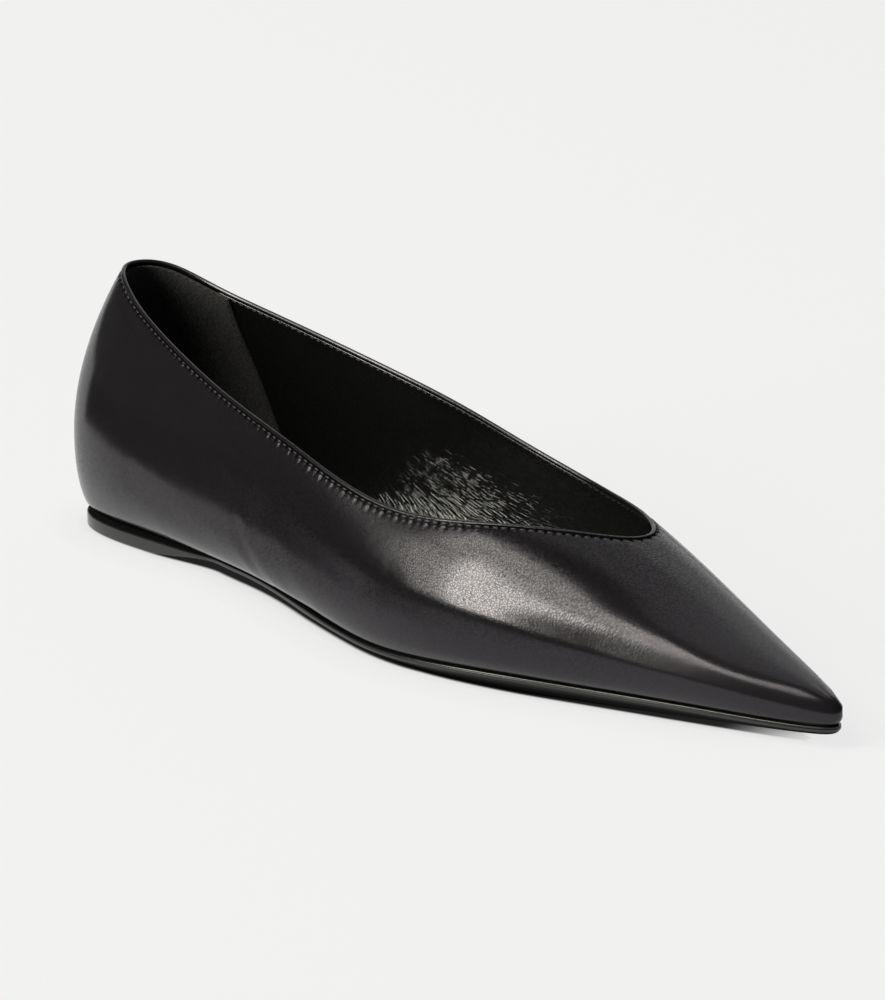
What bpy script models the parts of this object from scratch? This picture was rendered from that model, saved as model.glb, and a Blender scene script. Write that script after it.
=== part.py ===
"""A plain pointed ballet flat, right shoe: upper, insole, outsole and heel lift.

The script works in millimetres and writes metres. +X runs to the toe, +Y to the inner side of the
foot and +Z up. The shoe stands on z = 0 with the middle of its bounding box over the origin.
"""
import math
from collections import namedtuple

import bmesh
import bpy
import numpy as np

MM = 0.001
LATERAL = -1
MEDIAL = 1
SIDES = (LATERAL, MEDIAL)

# Leather and gaps
WALL = 1.6
MARGIN = 9.0
MARGIN_SHARE = 0.6
CLEAR = 0.3
INSOLE_CLEAR = 0.42
RIM_ROUND = 0.5

# Bottom pieces
SOLE_OVERHANG = 0.5
SOLE_TOP_BEVEL = 0.4
SOLE_TREAD_BEVEL = 0.5
INSOLE_THICK = 2.0
LIFT_SET_BACK = 0.1
LIFT_BEVEL = 0.3
LIFT_FLAT_TO = 40.0
LIFT_BREAST = 72.0
LIFT_FEATHER = 0.5

# The middle line the bottom edges are moved toward
SPINE_FROM = 30.0
SPINE_TO = 236.0

# One row per section of the last, heel back first and toe tip last. "out" is the little toe side.
# The foot is the edge against the sole, the girth the widest height and the ridge the crest.
Section = namedtuple(
    "Section",
    "foot_x foot_out foot_in girth_x girth_out girth_in girth_z ridge_x ridge_y ridge_z rise roof",
)
SECTIONS = (
    Section(6.0, 0.0, 0.0, -1.5, 0.0, 0.0, 24.0, 48.0, 2.5, 92.0, 0.62, 0.50),
    Section(11.6, 17.0, 17.0, 6.0, 17.0, 17.0, 23.5, 50.0, 2.0, 78.0, 0.61, 0.49),
    Section(34.0, 22.4, 22.0, 30.0, 26.6, 26.0, 23.0, 56.0, 2.0, 69.0, 0.61, 0.49),
    Section(70.0, 21.5, 19.0, 70.0, 30.8, 28.5, 21.5, 76.0, 2.3, 66.0, 0.59, 0.49),
    Section(105.0, 27.6, 19.5, 105.0, 34.9, 33.0, 19.0, 105.0, 3.0, 59.0, 0.58, 0.52),
    Section(140.0, 35.2, 25.0, 140.0, 38.3, 35.0, 16.0, 140.0, 4.6, 48.5, 0.55, 0.55),
    Section(172.0, 33.0, 28.5, 172.0, 36.2, 31.5, 13.5, 172.0, 5.8, 43.0, 0.52, 0.58),
    Section(204.0, 23.4, 21.7, 204.0, 26.9, 24.2, 12.0, 204.0, 5.4, 33.3, 0.52, 0.55),
    Section(234.0, 14.1, 12.8, 234.0, 16.7, 14.7, 11.0, 234.0, 3.9, 22.3, 0.55, 0.52),
    Section(261.0, 4.8, 4.4, 261.0, 5.6, 5.0, 9.6, 255.5, 0.6, 15.6, 0.56, 0.53),
    Section(266.6, 0.0, 0.0, 268.0, 0.0, 0.0, 9.0, 261.5, 0.0, 13.5, 0.56, 0.55),
)

# The topline from the heel back to the throat: the section it is over, and its height on each side
# as a share of the way from the girth to the ridge.
Cut = namedtuple("Cut", "section outer inner")
TOPLINE = (
    Cut(0.0, 0.435, 0.435),
    Cut(1.0, 0.535, 0.555),
    Cut(2.0, 0.555, 0.605),
    Cut(3.0, 0.447, 0.54),
    Cut(4.0, 0.42, 0.52),
    Cut(5.0, 0.45, 0.57),
    Cut(6.05, 0.635, 0.555),
    Cut(6.81, 1.0, 1.0),
)

# The bed is the height of the upper's underside along the shoe, with the sole's thickness below it.
Bed = namedtuple("Bed", "x height sole")
BEDS = (
    Bed(4.0, 5.0, 1.4),
    Bed(34.0, 5.0, 1.4),
    Bed(70.0, 5.0, 1.4),
    Bed(105.0, 4.7, 1.4),
    Bed(140.0, 3.5, 2.6),
    Bed(172.0, 3.0, 2.9),
    Bed(204.0, 3.4, 2.6),
    Bed(234.0, 4.3, 2.3),
    Bed(258.0, 5.2, 2.2),
    Bed(269.0, 5.7, 2.2),
)

# Colour, roughness and metal share of each piece
Finish = namedtuple("Finish", "colour roughness metallic")
FINISHES = {
    "upper": Finish((0.012, 0.011, 0.012), 0.42, 0.0),
    "insole": Finish((0.010, 0.010, 0.010), 0.40, 0.0),
    "outsole": Finish((0.014, 0.014, 0.014), 0.35, 0.0),
    "heel_lift": Finish((0.016, 0.016, 0.016), 0.45, 0.0),
}

# Mesh steps between neighbouring rows of the topline table, then from the throat to the tip
TOPLINE_STEPS = (9, 6, 4, 4, 4, 5, 7)
VAMP_STEPS = (4, 4, 7)
LOWER_STEPS = 5
UPPER_STEPS = 7
LIFT_STEPS = (9, 15)
SHARP_ANGLE = math.radians(40.0)
JOIN_DISTANCE = 0.002


def cubic(knots, values, slope_start=None, slope_end=None):
    """Smooth curve through the values; an end with no slope given is left straight."""
    t = np.asarray(knots, float)
    y = np.asarray(values, float)
    n = len(t)
    h = np.diff(t)
    rows = np.zeros((n, n))
    right = np.zeros(n)
    rows[0, 0] = 1.0
    rows[-1, -1] = 1.0
    for i in range(1, n - 1):
        rows[i, i - 1:i + 2] = h[i - 1], 2.0 * (h[i - 1] + h[i]), h[i]
        right[i] = 6.0 * ((y[i + 1] - y[i]) / h[i] - (y[i] - y[i - 1]) / h[i - 1])
    if slope_start is not None:
        rows[0, :2] = 2.0 * h[0], h[0]
        right[0] = 6.0 * ((y[1] - y[0]) / h[0] - slope_start)
    if slope_end is not None:
        rows[-1, -2:] = h[-1], 2.0 * h[-1]
        right[-1] = 6.0 * (slope_end - (y[-1] - y[-2]) / h[-1])
    bend = np.linalg.solve(rows, right)

    def at(where):
        where = np.asarray(where, float)
        i = np.clip(np.searchsorted(t, where, side="right") - 1, 0, n - 2)
        u = where - t[i]
        w = t[i + 1] - where
        curved = (bend[i] * w**3 + bend[i + 1] * u**3) / (6.0 * h[i])
        before = (y[i] / h[i] - bend[i] * h[i] / 6.0) * w
        after = (y[i + 1] / h[i] - bend[i + 1] * h[i] / 6.0) * u
        return curved + before + after

    return at


def bezier(p0, p1, p2, p3, t):
    """Cubic curve point for arrays of points and shares."""
    t = t[..., None]
    w = 1.0 - t
    return w**3 * p0 + 3.0 * w**2 * t * p1 + 3.0 * w * t**2 * p2 + t**3 * p3


def unit(v):
    """Vectors brought to length one."""
    return v / np.linalg.norm(v, axis=-1, keepdims=True)


class Last:
    """The outer surface of the upper, as a function of section, height share and side."""

    FLAT_ENDED = {"foot_x", "girth_x", "girth_z", "ridge_x", "ridge_z", "rise", "roof"}
    FOOT_PULL = 0.45
    FOOT_LIFT = 0.25
    HANG_RANGE = (0.15, 0.9)
    LEAST_UNDERCUT = 0.3
    LEAST_ROOF = 0.1
    CREST_FROM = 5.0
    STEP = 0.01
    NEAR_TIP = 0.05
    NEAR_RIDGE = 0.96

    def __init__(self):
        self.end = len(SECTIONS) - 1
        steps = range(len(SECTIONS))
        self.curve = {}
        for name in Section._fields:
            slope = 0.0 if name in self.FLAT_ENDED else None
            tip_slope = 0.0 if name == "ridge_y" else slope
            values = [getattr(row, name) for row in SECTIONS]
            self.curve[name] = cubic(steps, values, slope, tip_slope)
        self.bed = cubic([row.x for row in BEDS], [row.height for row in BEDS])
        self.sole = cubic([row.x for row in BEDS], [row.sole for row in BEDS])

    def folded(self, s, a, side):
        """Carry a place past the heel, the tip or the ridge over to the other side."""
        side = np.where((s < 0.0) | (s > self.end), -side, side)
        s = np.where(s < 0.0, -s, s)
        s = np.where(s > self.end, 2.0 * self.end - s, s)
        side = np.where(a > 1.0, -side, side)
        return s, np.where(a > 1.0, 2.0 - a, a), side

    def foot(self, s, side):
        """Edge against the sole."""
        s, _, side = self.folded(s, np.zeros_like(s), side)
        half = np.where(side < 0, self.curve["foot_out"](s), self.curve["foot_in"](s))
        x = self.curve["foot_x"](s)
        return np.stack([x, side * half, self.bed(x)], -1)

    def point(self, s, a, side):
        """Surface point; a runs -1 at the foot, 0 at the girth and 1 at the ridge."""
        s, a, side = self.folded(s, a, side)
        got = {name: curve(s) for name, curve in self.curve.items()}
        foot = self.foot(s, side)
        half = np.where(side < 0, got["girth_out"], got["girth_in"])
        girth = np.stack([got["girth_x"], side * half, got["girth_z"]], -1)
        ridge = np.stack([got["ridge_x"], got["ridge_y"], got["ridge_z"]], -1)
        slope = self.ridge_slope(s)

        climb = girth.copy()
        climb[..., 2] += got["rise"] * (ridge[..., 2] - girth[..., 2])
        inward = ridge - girth
        inward[..., 2] = 0.0
        crest = ridge - got["roof"][..., None] * inward
        crest[..., 2] += slope * (crest[..., 0] - ridge[..., 0])
        upper = bezier(girth, climb, crest, ridge, np.clip(a, 0.0, 1.0))

        height = girth[..., 2] - foot[..., 2]
        under = np.maximum(np.linalg.norm((girth - foot)[..., :2], axis=-1), self.LEAST_UNDERCUT)
        over = np.maximum(np.linalg.norm(inward, axis=-1) * (1.0 - got["roof"]), self.LEAST_ROOF)
        hang = np.sqrt(under * (1.0 - self.FOOT_PULL) / over) * (climb - girth)[..., 2] / height
        corner = girth.copy()
        corner[..., 2] = foot[..., 2] + self.FOOT_LIFT * height
        drop = girth.copy()
        drop[..., 2] -= np.clip(hang, *self.HANG_RANGE) * height
        turn = foot + self.FOOT_PULL * (corner - foot)
        lower = bezier(foot, turn, drop, girth, np.clip(a + 1.0, 0.0, 1.0))
        return np.where((a >= 0.0)[..., None], upper, lower)

    def ridge_slope(self, s):
        """Fall of the ridge toward the tip; behind the vamp there is no ridge to follow."""
        near = np.clip(s, self.CREST_FROM, self.end - self.NEAR_TIP)
        run = self.curve["ridge_x"](near + self.STEP) - self.curve["ridge_x"](near - self.STEP)
        fall = self.curve["ridge_z"](near + self.STEP) - self.curve["ridge_z"](near - self.STEP)
        return np.where(s > self.CREST_FROM, fall / run, 0.0)

    def normal(self, s, a, side):
        """Outward direction of the surface."""
        a = np.where(s > self.end - self.NEAR_TIP, np.minimum(a, self.NEAR_RIDGE), a)
        along = self.point(s + self.STEP, a, side) - self.point(s - self.STEP, a, side)
        below = np.maximum(a - self.STEP, -1.0)
        rising = self.point(s, a + self.STEP, side) - self.point(s, below, side)
        return unit(np.cross(along, rising)) * -side[..., None]

    def spread(self, s, side):
        """Outward direction of the foot edge, in plan."""
        along = self.foot(s + self.STEP, side) - self.foot(s - self.STEP, side)
        out = np.stack([along[..., 1], -along[..., 0], np.zeros_like(s)], -1)
        return unit(out) * -side[..., None]

    def toward_spine(self, points, s, distance, share=1.0):
        """Move points in plan toward the middle line, by a distance or at most a share of the way."""
        middle = points.copy()
        middle[..., 0] = np.clip(points[..., 0], SPINE_FROM, SPINE_TO)
        middle[..., 1] = 0.5 * (self.curve["foot_in"](s) - self.curve["foot_out"](s))
        way = middle - points
        length = np.maximum(np.linalg.norm(way, axis=-1, keepdims=True), 1e-6)
        return points + way / length * np.minimum(distance, share * length)


class Skin:
    """Sheets of quads that are joined where they meet, into one closed body."""

    def __init__(self):
        self.shape = bmesh.new()

    def sheet(self, *lines):
        """Quads between lines of points, each line to the next."""
        rows = [[self.shape.verts.new(point * MM) for point in line] for line in lines]
        for low, high in zip(rows[:-1], rows[1:]):
            for i in range(len(low) - 1):
                self.shape.faces.new((low[i], low[i + 1], high[i + 1], high[i]))

    def box(self):
        """Lowest and highest corner, in millimetres."""
        points = np.array([vertex.co for vertex in self.shape.verts]) / MM
        return points.min(0), points.max(0)

    def make(self, name, parent, place):
        """The object, with its own material, standing at a place under its parent."""
        shape = self.shape
        bmesh.ops.remove_doubles(shape, verts=shape.verts, dist=JOIN_DISTANCE * MM)
        bmesh.ops.triangulate(shape, faces=shape.faces, quad_method="BEAUTY")
        bmesh.ops.recalc_face_normals(shape, faces=shape.faces)
        if shape.calc_volume(signed=True) < 0.0:
            bmesh.ops.reverse_faces(shape, faces=shape.faces)
        mesh = bpy.data.meshes.new(name)
        shape.to_mesh(mesh)
        shape.free()
        mesh.shade_smooth()
        mesh.set_sharp_from_angle(angle=SHARP_ANGLE)
        mesh.materials.append(leather(name, FINISHES[name]))
        thing = bpy.data.objects.new(name, mesh)
        bpy.context.scene.collection.objects.link(thing)
        thing.parent = parent
        thing.location = place * MM
        return thing


def leather(name, finish):
    """Plain material of one piece."""
    made = bpy.data.materials.new(name)
    made.use_nodes = True
    surface = made.node_tree.nodes["Principled BSDF"]
    surface.inputs["Base Color"].default_value = (*finish.colour, 1.0)
    surface.inputs["Roughness"].default_value = finish.roughness
    surface.inputs["Metallic"].default_value = finish.metallic
    return made


class Columns:
    """Upright lines over the shoe: where each starts at the foot and where it ends on top."""

    def __init__(self):
        rows = range(len(TOPLINE))
        along = cubic(rows, [cut.section for cut in TOPLINE], None, 0.0)
        outer = cubic(rows, [cut.outer for cut in TOPLINE], 0.0, None)
        inner = cubic(rows, [cut.inner for cut in TOPLINE], 0.0, None)
        line = []
        for i, steps in enumerate(TOPLINE_STEPS):
            line.extend(i + k / steps for k in range(steps))
        throat_row = len(TOPLINE) - 1
        line.append(float(throat_row))
        self.throat = len(line) - 1
        line = np.array(line)
        top = along(line)
        vamp = []
        tip = len(SECTIONS) - 1
        for i, steps in enumerate(VAMP_STEPS):
            vamp.extend(throat_row + i + (k + 1) / steps for k in range(steps))
        vamp = np.array(vamp)
        throat = TOPLINE[-1].section
        past = throat + (vamp - throat_row) / (tip - throat_row) * (tip - throat)
        ones = np.ones(len(vamp))
        self.foot = np.concatenate([line, vamp])
        self.top = np.concatenate([top, past])
        outer_cut = np.concatenate([outer(line), ones])
        inner_cut = np.concatenate([inner(line), ones])
        self.cut = {LATERAL: outer_cut, MEDIAL: inner_cut}

    def places(self, side):
        """Section and height share for every column and level on one side."""
        low = np.linspace(-1.0, 0.0, LOWER_STEPS + 1)
        high = np.linspace(0.0, 1.0, UPPER_STEPS + 1)[1:]
        cut = self.cut[side]
        a = np.concatenate([np.tile(low, (len(cut), 1)), cut[:, None] * high], 1)
        share = (a + 1.0) / (cut[:, None] + 1.0)
        s = self.foot[:, None] + (self.top - self.foot)[:, None] * share
        return s, a, np.full(s.shape, side)


def walls(last, columns, side):
    """Outer and inner wall of the upper on one side, column by column from the foot up."""
    s, a, sides = columns.places(side)
    outer = last.point(s, a, sides)
    inner = outer - WALL * last.normal(s, a, sides)
    floor = last.bed(inner[..., 0]) + WALL
    inner[..., 2] = np.maximum(inner[..., 2], floor)
    return outer, inner


def margin_edge(last, columns, side, inset=0.0):
    """Inner edge of the turned-in margin, at the height of the bed."""
    s = columns.foot
    sides = np.full(s.shape, side)
    edge = last.toward_spine(last.foot(s, sides), s, MARGIN, MARGIN_SHARE)
    if inset:
        edge = last.toward_spine(edge, s, inset)
    edge[:, 2] = last.bed(edge[:, 0])
    return edge


def raised(points, height):
    """The same points higher."""
    up = points.copy()
    up[:, 2] += height
    return up


def upper_skin(last, columns):
    """Hollow upper: outer wall, rim, inner wall and the margin turned in under the foot."""
    skin = Skin()
    open_part = slice(0, columns.throat + 1)
    throat_rim = None
    for side in SIDES:
        outer, inner = walls(last, columns, side)
        edge = margin_edge(last, columns, side)
        skin.sheet(*outer.swapaxes(0, 1))
        skin.sheet(*inner.swapaxes(0, 1))
        rim = 0.5 * (outer[:, -1] + inner[:, -1])
        rim += unit(outer[:, -1] - outer[:, -2]) * RIM_ROUND
        if throat_rim is None:
            throat_rim = rim[columns.throat]
        rim[columns.throat] = throat_rim
        skin.sheet(outer[open_part, -1], rim[open_part], inner[open_part, -1])
        skin.sheet(outer[:, 0], edge, raised(edge, WALL), inner[:, 0])
    return skin


def stacked(rings, breast=False):
    """A plate through rings of points; each ring holds a line for either side.

    A breast closes a plate whose two sides end apart.
    """
    skin = Skin()
    for side in SIDES:
        skin.sheet(*[ring[side] for ring in rings])
    for ring in (rings[0], rings[-1]):
        skin.sheet(ring[LATERAL], ring[MEDIAL])
    if breast:
        skin.sheet(*[(ring[LATERAL][-1], ring[MEDIAL][-1]) for ring in rings])
    return skin


def sole_heights(last, x):
    """Top and tread height of the outsole."""
    top = last.bed(x) - CLEAR
    return top, np.maximum(top - last.sole(x), 0.0)


def at_height(points, height):
    """The same points in plan, at other heights."""
    moved = points.copy()
    moved[:, 2] = height
    return moved


def outsole_skin(last, columns):
    """Thin outsole: flat under the forefoot, lifted at the toe and the waist."""
    rings = [{}, {}, {}, {}]
    s = columns.foot
    for side in SIDES:
        sides = np.full(s.shape, side)
        out = last.spread(s, sides)
        edge = last.foot(s, sides) + SOLE_OVERHANG * out
        top, tread = sole_heights(last, edge[:, 0])
        rings[0][side] = at_height(edge - SOLE_TREAD_BEVEL * out, tread)
        rings[1][side] = at_height(edge, tread + SOLE_TREAD_BEVEL)
        rings[2][side] = at_height(edge, top - SOLE_TOP_BEVEL)
        rings[3][side] = at_height(edge - SOLE_TOP_BEVEL * out, top)
    return stacked(rings)


def lift_skin(last):
    """Heel lift: flat on the ground at the back, thinned to a feather edge at the breast."""
    round_steps, side_steps = LIFT_STEPS
    behind, ahead = SECTIONS[3], SECTIONS[4]
    breast = 3.0 + (LIFT_BREAST - behind.foot_x) / (ahead.foot_x - behind.foot_x)
    s = np.concatenate([np.linspace(0.0, 1.0, round_steps), np.linspace(1.0, breast, side_steps)[1:]])
    rings = [{}, {}, {}]
    for side in SIDES:
        sides = np.full(s.shape, side)
        out = last.spread(s, sides)
        edge = last.foot(s, sides) + (SOLE_OVERHANG - LIFT_SET_BACK) * out
        x = edge[:, 0]
        top = sole_heights(last, x)[1] - CLEAR
        gone = np.clip((x - LIFT_FLAT_TO) / (LIFT_BREAST - LIFT_FLAT_TO), 0.0, 1.0)
        tread = (top - LIFT_FEATHER) * gone**2 * (3.0 - 2.0 * gone)
        rings[0][side] = at_height(edge - LIFT_BEVEL * out, tread)
        rings[1][side] = at_height(edge, tread + LIFT_BEVEL)
        rings[2][side] = at_height(edge, top)
    return stacked(rings, breast=True)


def wall_at(last, inner, height):
    """Where each column of the inner wall is at a height over the bed."""
    line = []
    for column in inner:
        over = np.maximum.accumulate(column[:, 2] - last.bed(column[:, 0]))
        line.append([np.interp(height, over, column[:, k]) for k in range(3)])
    return np.array(line)


def insole_skin(last, columns):
    """Insole: a plate on the margin with a lower middle that fills the space inside it."""
    low = WALL + CLEAR
    high = low + INSOLE_THICK
    rings = [{}, {}, {}, {}]
    for side in SIDES:
        _, inner = walls(last, columns, side)
        middle = margin_edge(last, columns, side, CLEAR)
        rings[0][side] = middle
        rings[1][side] = raised(middle, low)
        for ring, height in zip(rings[2:], (low, high)):
            edge = last.toward_spine(wall_at(last, inner, height), columns.foot, INSOLE_CLEAR)
            ring[side] = at_height(edge, last.bed(edge[:, 0]) + height)
    return stacked(rings)


def main():
    """Clear the scene and make the four pieces under one empty."""
    for old in list(bpy.data.objects):
        bpy.data.objects.remove(old, do_unlink=True)
    last = Last()
    columns = Columns()
    skins = {
        "upper": upper_skin(last, columns),
        "insole": insole_skin(last, columns),
        "outsole": outsole_skin(last, columns),
        "heel_lift": lift_skin(last),
    }
    corners = np.array([skin.box() for skin in skins.values()])
    low = corners[:, 0].min(0)
    high = corners[:, 1].max(0)
    middle = 0.5 * (low + high)
    place = np.array([-middle[0], -middle[1], -low[2]])
    shoe = bpy.data.objects.new("ballet_flat", None)
    bpy.context.scene.collection.objects.link(shoe)
    for name, skin in skins.items():
        skin.make(name, shoe, place)


main()
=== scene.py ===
"""Looks of a plain pointed ballet flat, right shoe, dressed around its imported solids.

Sizes are in millimetres in the last's own table frame (heel back at x = 0, toe at +X, inner side
of the foot at +Y) and go to the meshes in metres, moved to the frame's origin.
"""
import logging
import math
from dataclasses import dataclass, fields
from enum import Enum
from typing import Callable, Dict, List, Optional, Sequence, Tuple, Union

import bmesh
import bpy
import numpy as np
from mathutils import Matrix, Vector
from mathutils.kdtree import KDTree


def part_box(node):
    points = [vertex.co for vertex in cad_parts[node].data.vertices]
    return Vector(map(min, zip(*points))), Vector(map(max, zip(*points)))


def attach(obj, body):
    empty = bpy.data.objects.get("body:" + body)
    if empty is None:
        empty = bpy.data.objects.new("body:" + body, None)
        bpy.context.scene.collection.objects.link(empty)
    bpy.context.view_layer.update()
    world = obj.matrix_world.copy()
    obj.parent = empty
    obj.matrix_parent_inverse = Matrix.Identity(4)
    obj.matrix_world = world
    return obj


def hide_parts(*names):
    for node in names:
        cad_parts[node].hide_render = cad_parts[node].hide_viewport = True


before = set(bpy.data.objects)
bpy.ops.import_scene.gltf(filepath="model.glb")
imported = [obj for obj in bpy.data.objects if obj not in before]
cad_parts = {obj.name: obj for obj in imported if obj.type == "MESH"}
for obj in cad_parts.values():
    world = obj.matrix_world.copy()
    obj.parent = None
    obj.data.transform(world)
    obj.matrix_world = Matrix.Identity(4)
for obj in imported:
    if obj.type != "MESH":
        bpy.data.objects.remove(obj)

log = logging.getLogger("ballet_flat")

Array = np.ndarray
Span = Tuple[float, float]
Triple = Tuple[float, float, float]
Colour = Triple
Number = Union[int, float]

MM = 0.001
BODY = "root"
EDGE_MARK = "edge"
GRIP_ROW = 1.71
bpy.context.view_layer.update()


class Side(Enum):
    """The two sides of the shoe, by the sign of Y."""

    LATERAL = -1
    MEDIAL = 1


class Slot(Enum):
    """The record's material slots."""

    UPPER = "upper_leather"
    INSOLE = "insole_leather"
    SOLE = "sole_leather"
    LIFT = "lift_rubber"


# The last


@dataclass(frozen=True)
class Section:
    """One row of the last: foot edge, widest girth and ridge, with how fully it climbs and roofs."""

    foot_x: float
    foot_out: float
    foot_in: float
    girth_x: float
    girth_out: float
    girth_in: float
    girth_z: float
    ridge_x: float
    ridge_y: float
    ridge_z: float
    rise: float
    roof: float


@dataclass(frozen=True)
class Cut:
    """One row of the topline: its section, the height share on each side, and the foot section below."""

    section: float
    outer: float
    inner: float
    below: float


@dataclass(frozen=True)
class Bed:
    """Height of the upper's underside at a place along the shoe, and the sole's thickness there."""

    x: float
    height: float
    sole: float


SECTIONS: Tuple[Section, ...] = (
    Section(6.0, 0.0, 0.0, -1.5, 0.0, 0.0, 24.0, 48.0, 2.5, 92.0, 0.62, 0.50),
    Section(11.6, 17.0, 17.0, 6.0, 17.0, 17.0, 23.5, 50.0, 2.0, 78.0, 0.61, 0.49),
    Section(34.0, 22.4, 22.0, 30.0, 26.6, 26.0, 23.0, 56.0, 2.0, 69.0, 0.61, 0.49),
    Section(70.0, 21.5, 19.0, 70.0, 30.8, 28.5, 21.5, 76.0, 2.3, 66.0, 0.59, 0.49),
    Section(105.0, 27.6, 19.5, 105.0, 34.9, 33.0, 19.0, 105.0, 3.0, 59.0, 0.58, 0.52),
    Section(140.0, 35.2, 25.0, 140.0, 38.3, 35.0, 16.0, 140.0, 4.6, 48.5, 0.55, 0.55),
    Section(172.0, 33.0, 28.5, 172.0, 36.2, 31.5, 13.5, 172.0, 5.8, 43.0, 0.52, 0.58),
    Section(204.0, 23.4, 21.7, 204.0, 26.9, 24.2, 12.0, 204.0, 5.4, 33.3, 0.52, 0.55),
    Section(234.0, 14.1, 12.8, 234.0, 16.7, 14.7, 11.0, 234.0, 3.9, 22.3, 0.55, 0.52),
    Section(261.0, 4.8, 4.4, 261.0, 5.6, 5.0, 9.6, 255.5, 0.6, 15.6, 0.56, 0.53),
    Section(266.6, 0.0, 0.0, 268.0, 0.0, 0.0, 9.0, 261.5, 0.0, 13.5, 0.56, 0.55),
)

TOPLINE: Tuple[Cut, ...] = (
    Cut(0.0, 0.435, 0.435, 0.0),
    Cut(1.0, 0.535, 0.555, 1.25),
    Cut(2.0, 0.555, 0.605, 2.5),
    Cut(3.0, 0.447, 0.54, 3.45),
    Cut(4.0, 0.42, 0.52, 4.4),
    Cut(5.0, 0.45, 0.57, 5.6),
    Cut(6.05, 0.635, 0.555, 7.3),
    Cut(6.81, 1.0, 1.0, 10.0),
)

BEDS: Tuple[Bed, ...] = (
    Bed(4.0, 5.0, 1.4),
    Bed(34.0, 5.0, 1.4),
    Bed(70.0, 5.0, 1.4),
    Bed(105.0, 4.7, 1.4),
    Bed(140.0, 2.8, 1.9),
    Bed(172.0, 4.0, 3.9),
    Bed(204.0, 4.7, 3.9),
    Bed(234.0, 5.2, 3.0),
    Bed(258.0, 5.4, 1.9),
    Bed(269.0, 5.7, 1.7),
)


def cubic(
    knots: Sequence[float],
    values: Sequence[float],
    slope_start: Optional[float] = None,
    slope_end: Optional[float] = None,
) -> Callable[[Array], Array]:
    """Smooth curve through a row of values.

    Args:
        knots: Where the values stand, rising.
        values: The values.
        slope_start: Slope at the first knot; left out, the curve ends straight there.
        slope_end: Slope at the last knot; left out, the curve ends straight there.

    Returns:
        A function from places to values.
    """
    t = np.asarray(knots, float)
    y = np.asarray(values, float)
    n = len(t)
    h = np.diff(t)
    rows = np.zeros((n, n))
    right = np.zeros(n)
    rows[0, 0] = 1.0
    rows[-1, -1] = 1.0
    for i in range(1, n - 1):
        rows[i, i - 1:i + 2] = h[i - 1], 2.0 * (h[i - 1] + h[i]), h[i]
        right[i] = 6.0 * ((y[i + 1] - y[i]) / h[i] - (y[i] - y[i - 1]) / h[i - 1])
    if slope_start is not None:
        rows[0, :2] = 2.0 * h[0], h[0]
        right[0] = 6.0 * ((y[1] - y[0]) / h[0] - slope_start)
    if slope_end is not None:
        rows[-1, -2:] = h[-1], 2.0 * h[-1]
        right[-1] = 6.0 * (slope_end - (y[-1] - y[-2]) / h[-1])
    bend = np.linalg.solve(rows, right)

    def at(where: Array) -> Array:
        """Follow the curve.

        Args:
            where: Places.

        Returns:
            The value at each of them.
        """
        where = np.asarray(where, float)
        i = np.clip(np.searchsorted(t, where, side="right") - 1, 0, n - 2)
        u = where - t[i]
        w = t[i + 1] - where
        curved = (bend[i] * w**3 + bend[i + 1] * u**3) / (6.0 * h[i])
        before = (y[i] / h[i] - bend[i] * h[i] / 6.0) * w
        after = (y[i + 1] / h[i] - bend[i + 1] * h[i] / 6.0) * u
        return curved + before + after

    return at


def bezier(p0: Array, p1: Array, p2: Array, p3: Array, t: Array) -> Array:
    """Points of cubic curves.

    Args:
        p0: Where each starts.
        p1: Its first handle.
        p2: Its second handle.
        p3: Where it ends.
        t: Share of the way along it.

    Returns:
        One point on each curve.
    """
    t = t[..., None]
    w = 1.0 - t
    return w**3 * p0 + 3.0 * w**2 * t * p1 + 3.0 * w * t**2 * p2 + t**3 * p3


def unit(v: Array) -> Array:
    """Vectors brought to length one."""
    return v / np.maximum(np.linalg.norm(v, axis=-1, keepdims=True), 1e-12)


def smooth(t: Array) -> Array:
    """Soft step from 0 to 1."""
    t = np.clip(t, 0.0, 1.0)
    return t * t * (3.0 - 2.0 * t)


def rise(x: Array, span: Span) -> Array:
    """Soft step from 0 at the start of a span to 1 at its end."""
    return smooth((x - span[0]) / (span[1] - span[0]))


def hump(t: Array) -> Array:
    """Bell of height one and unit width."""
    return np.exp(-(t * t))


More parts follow.
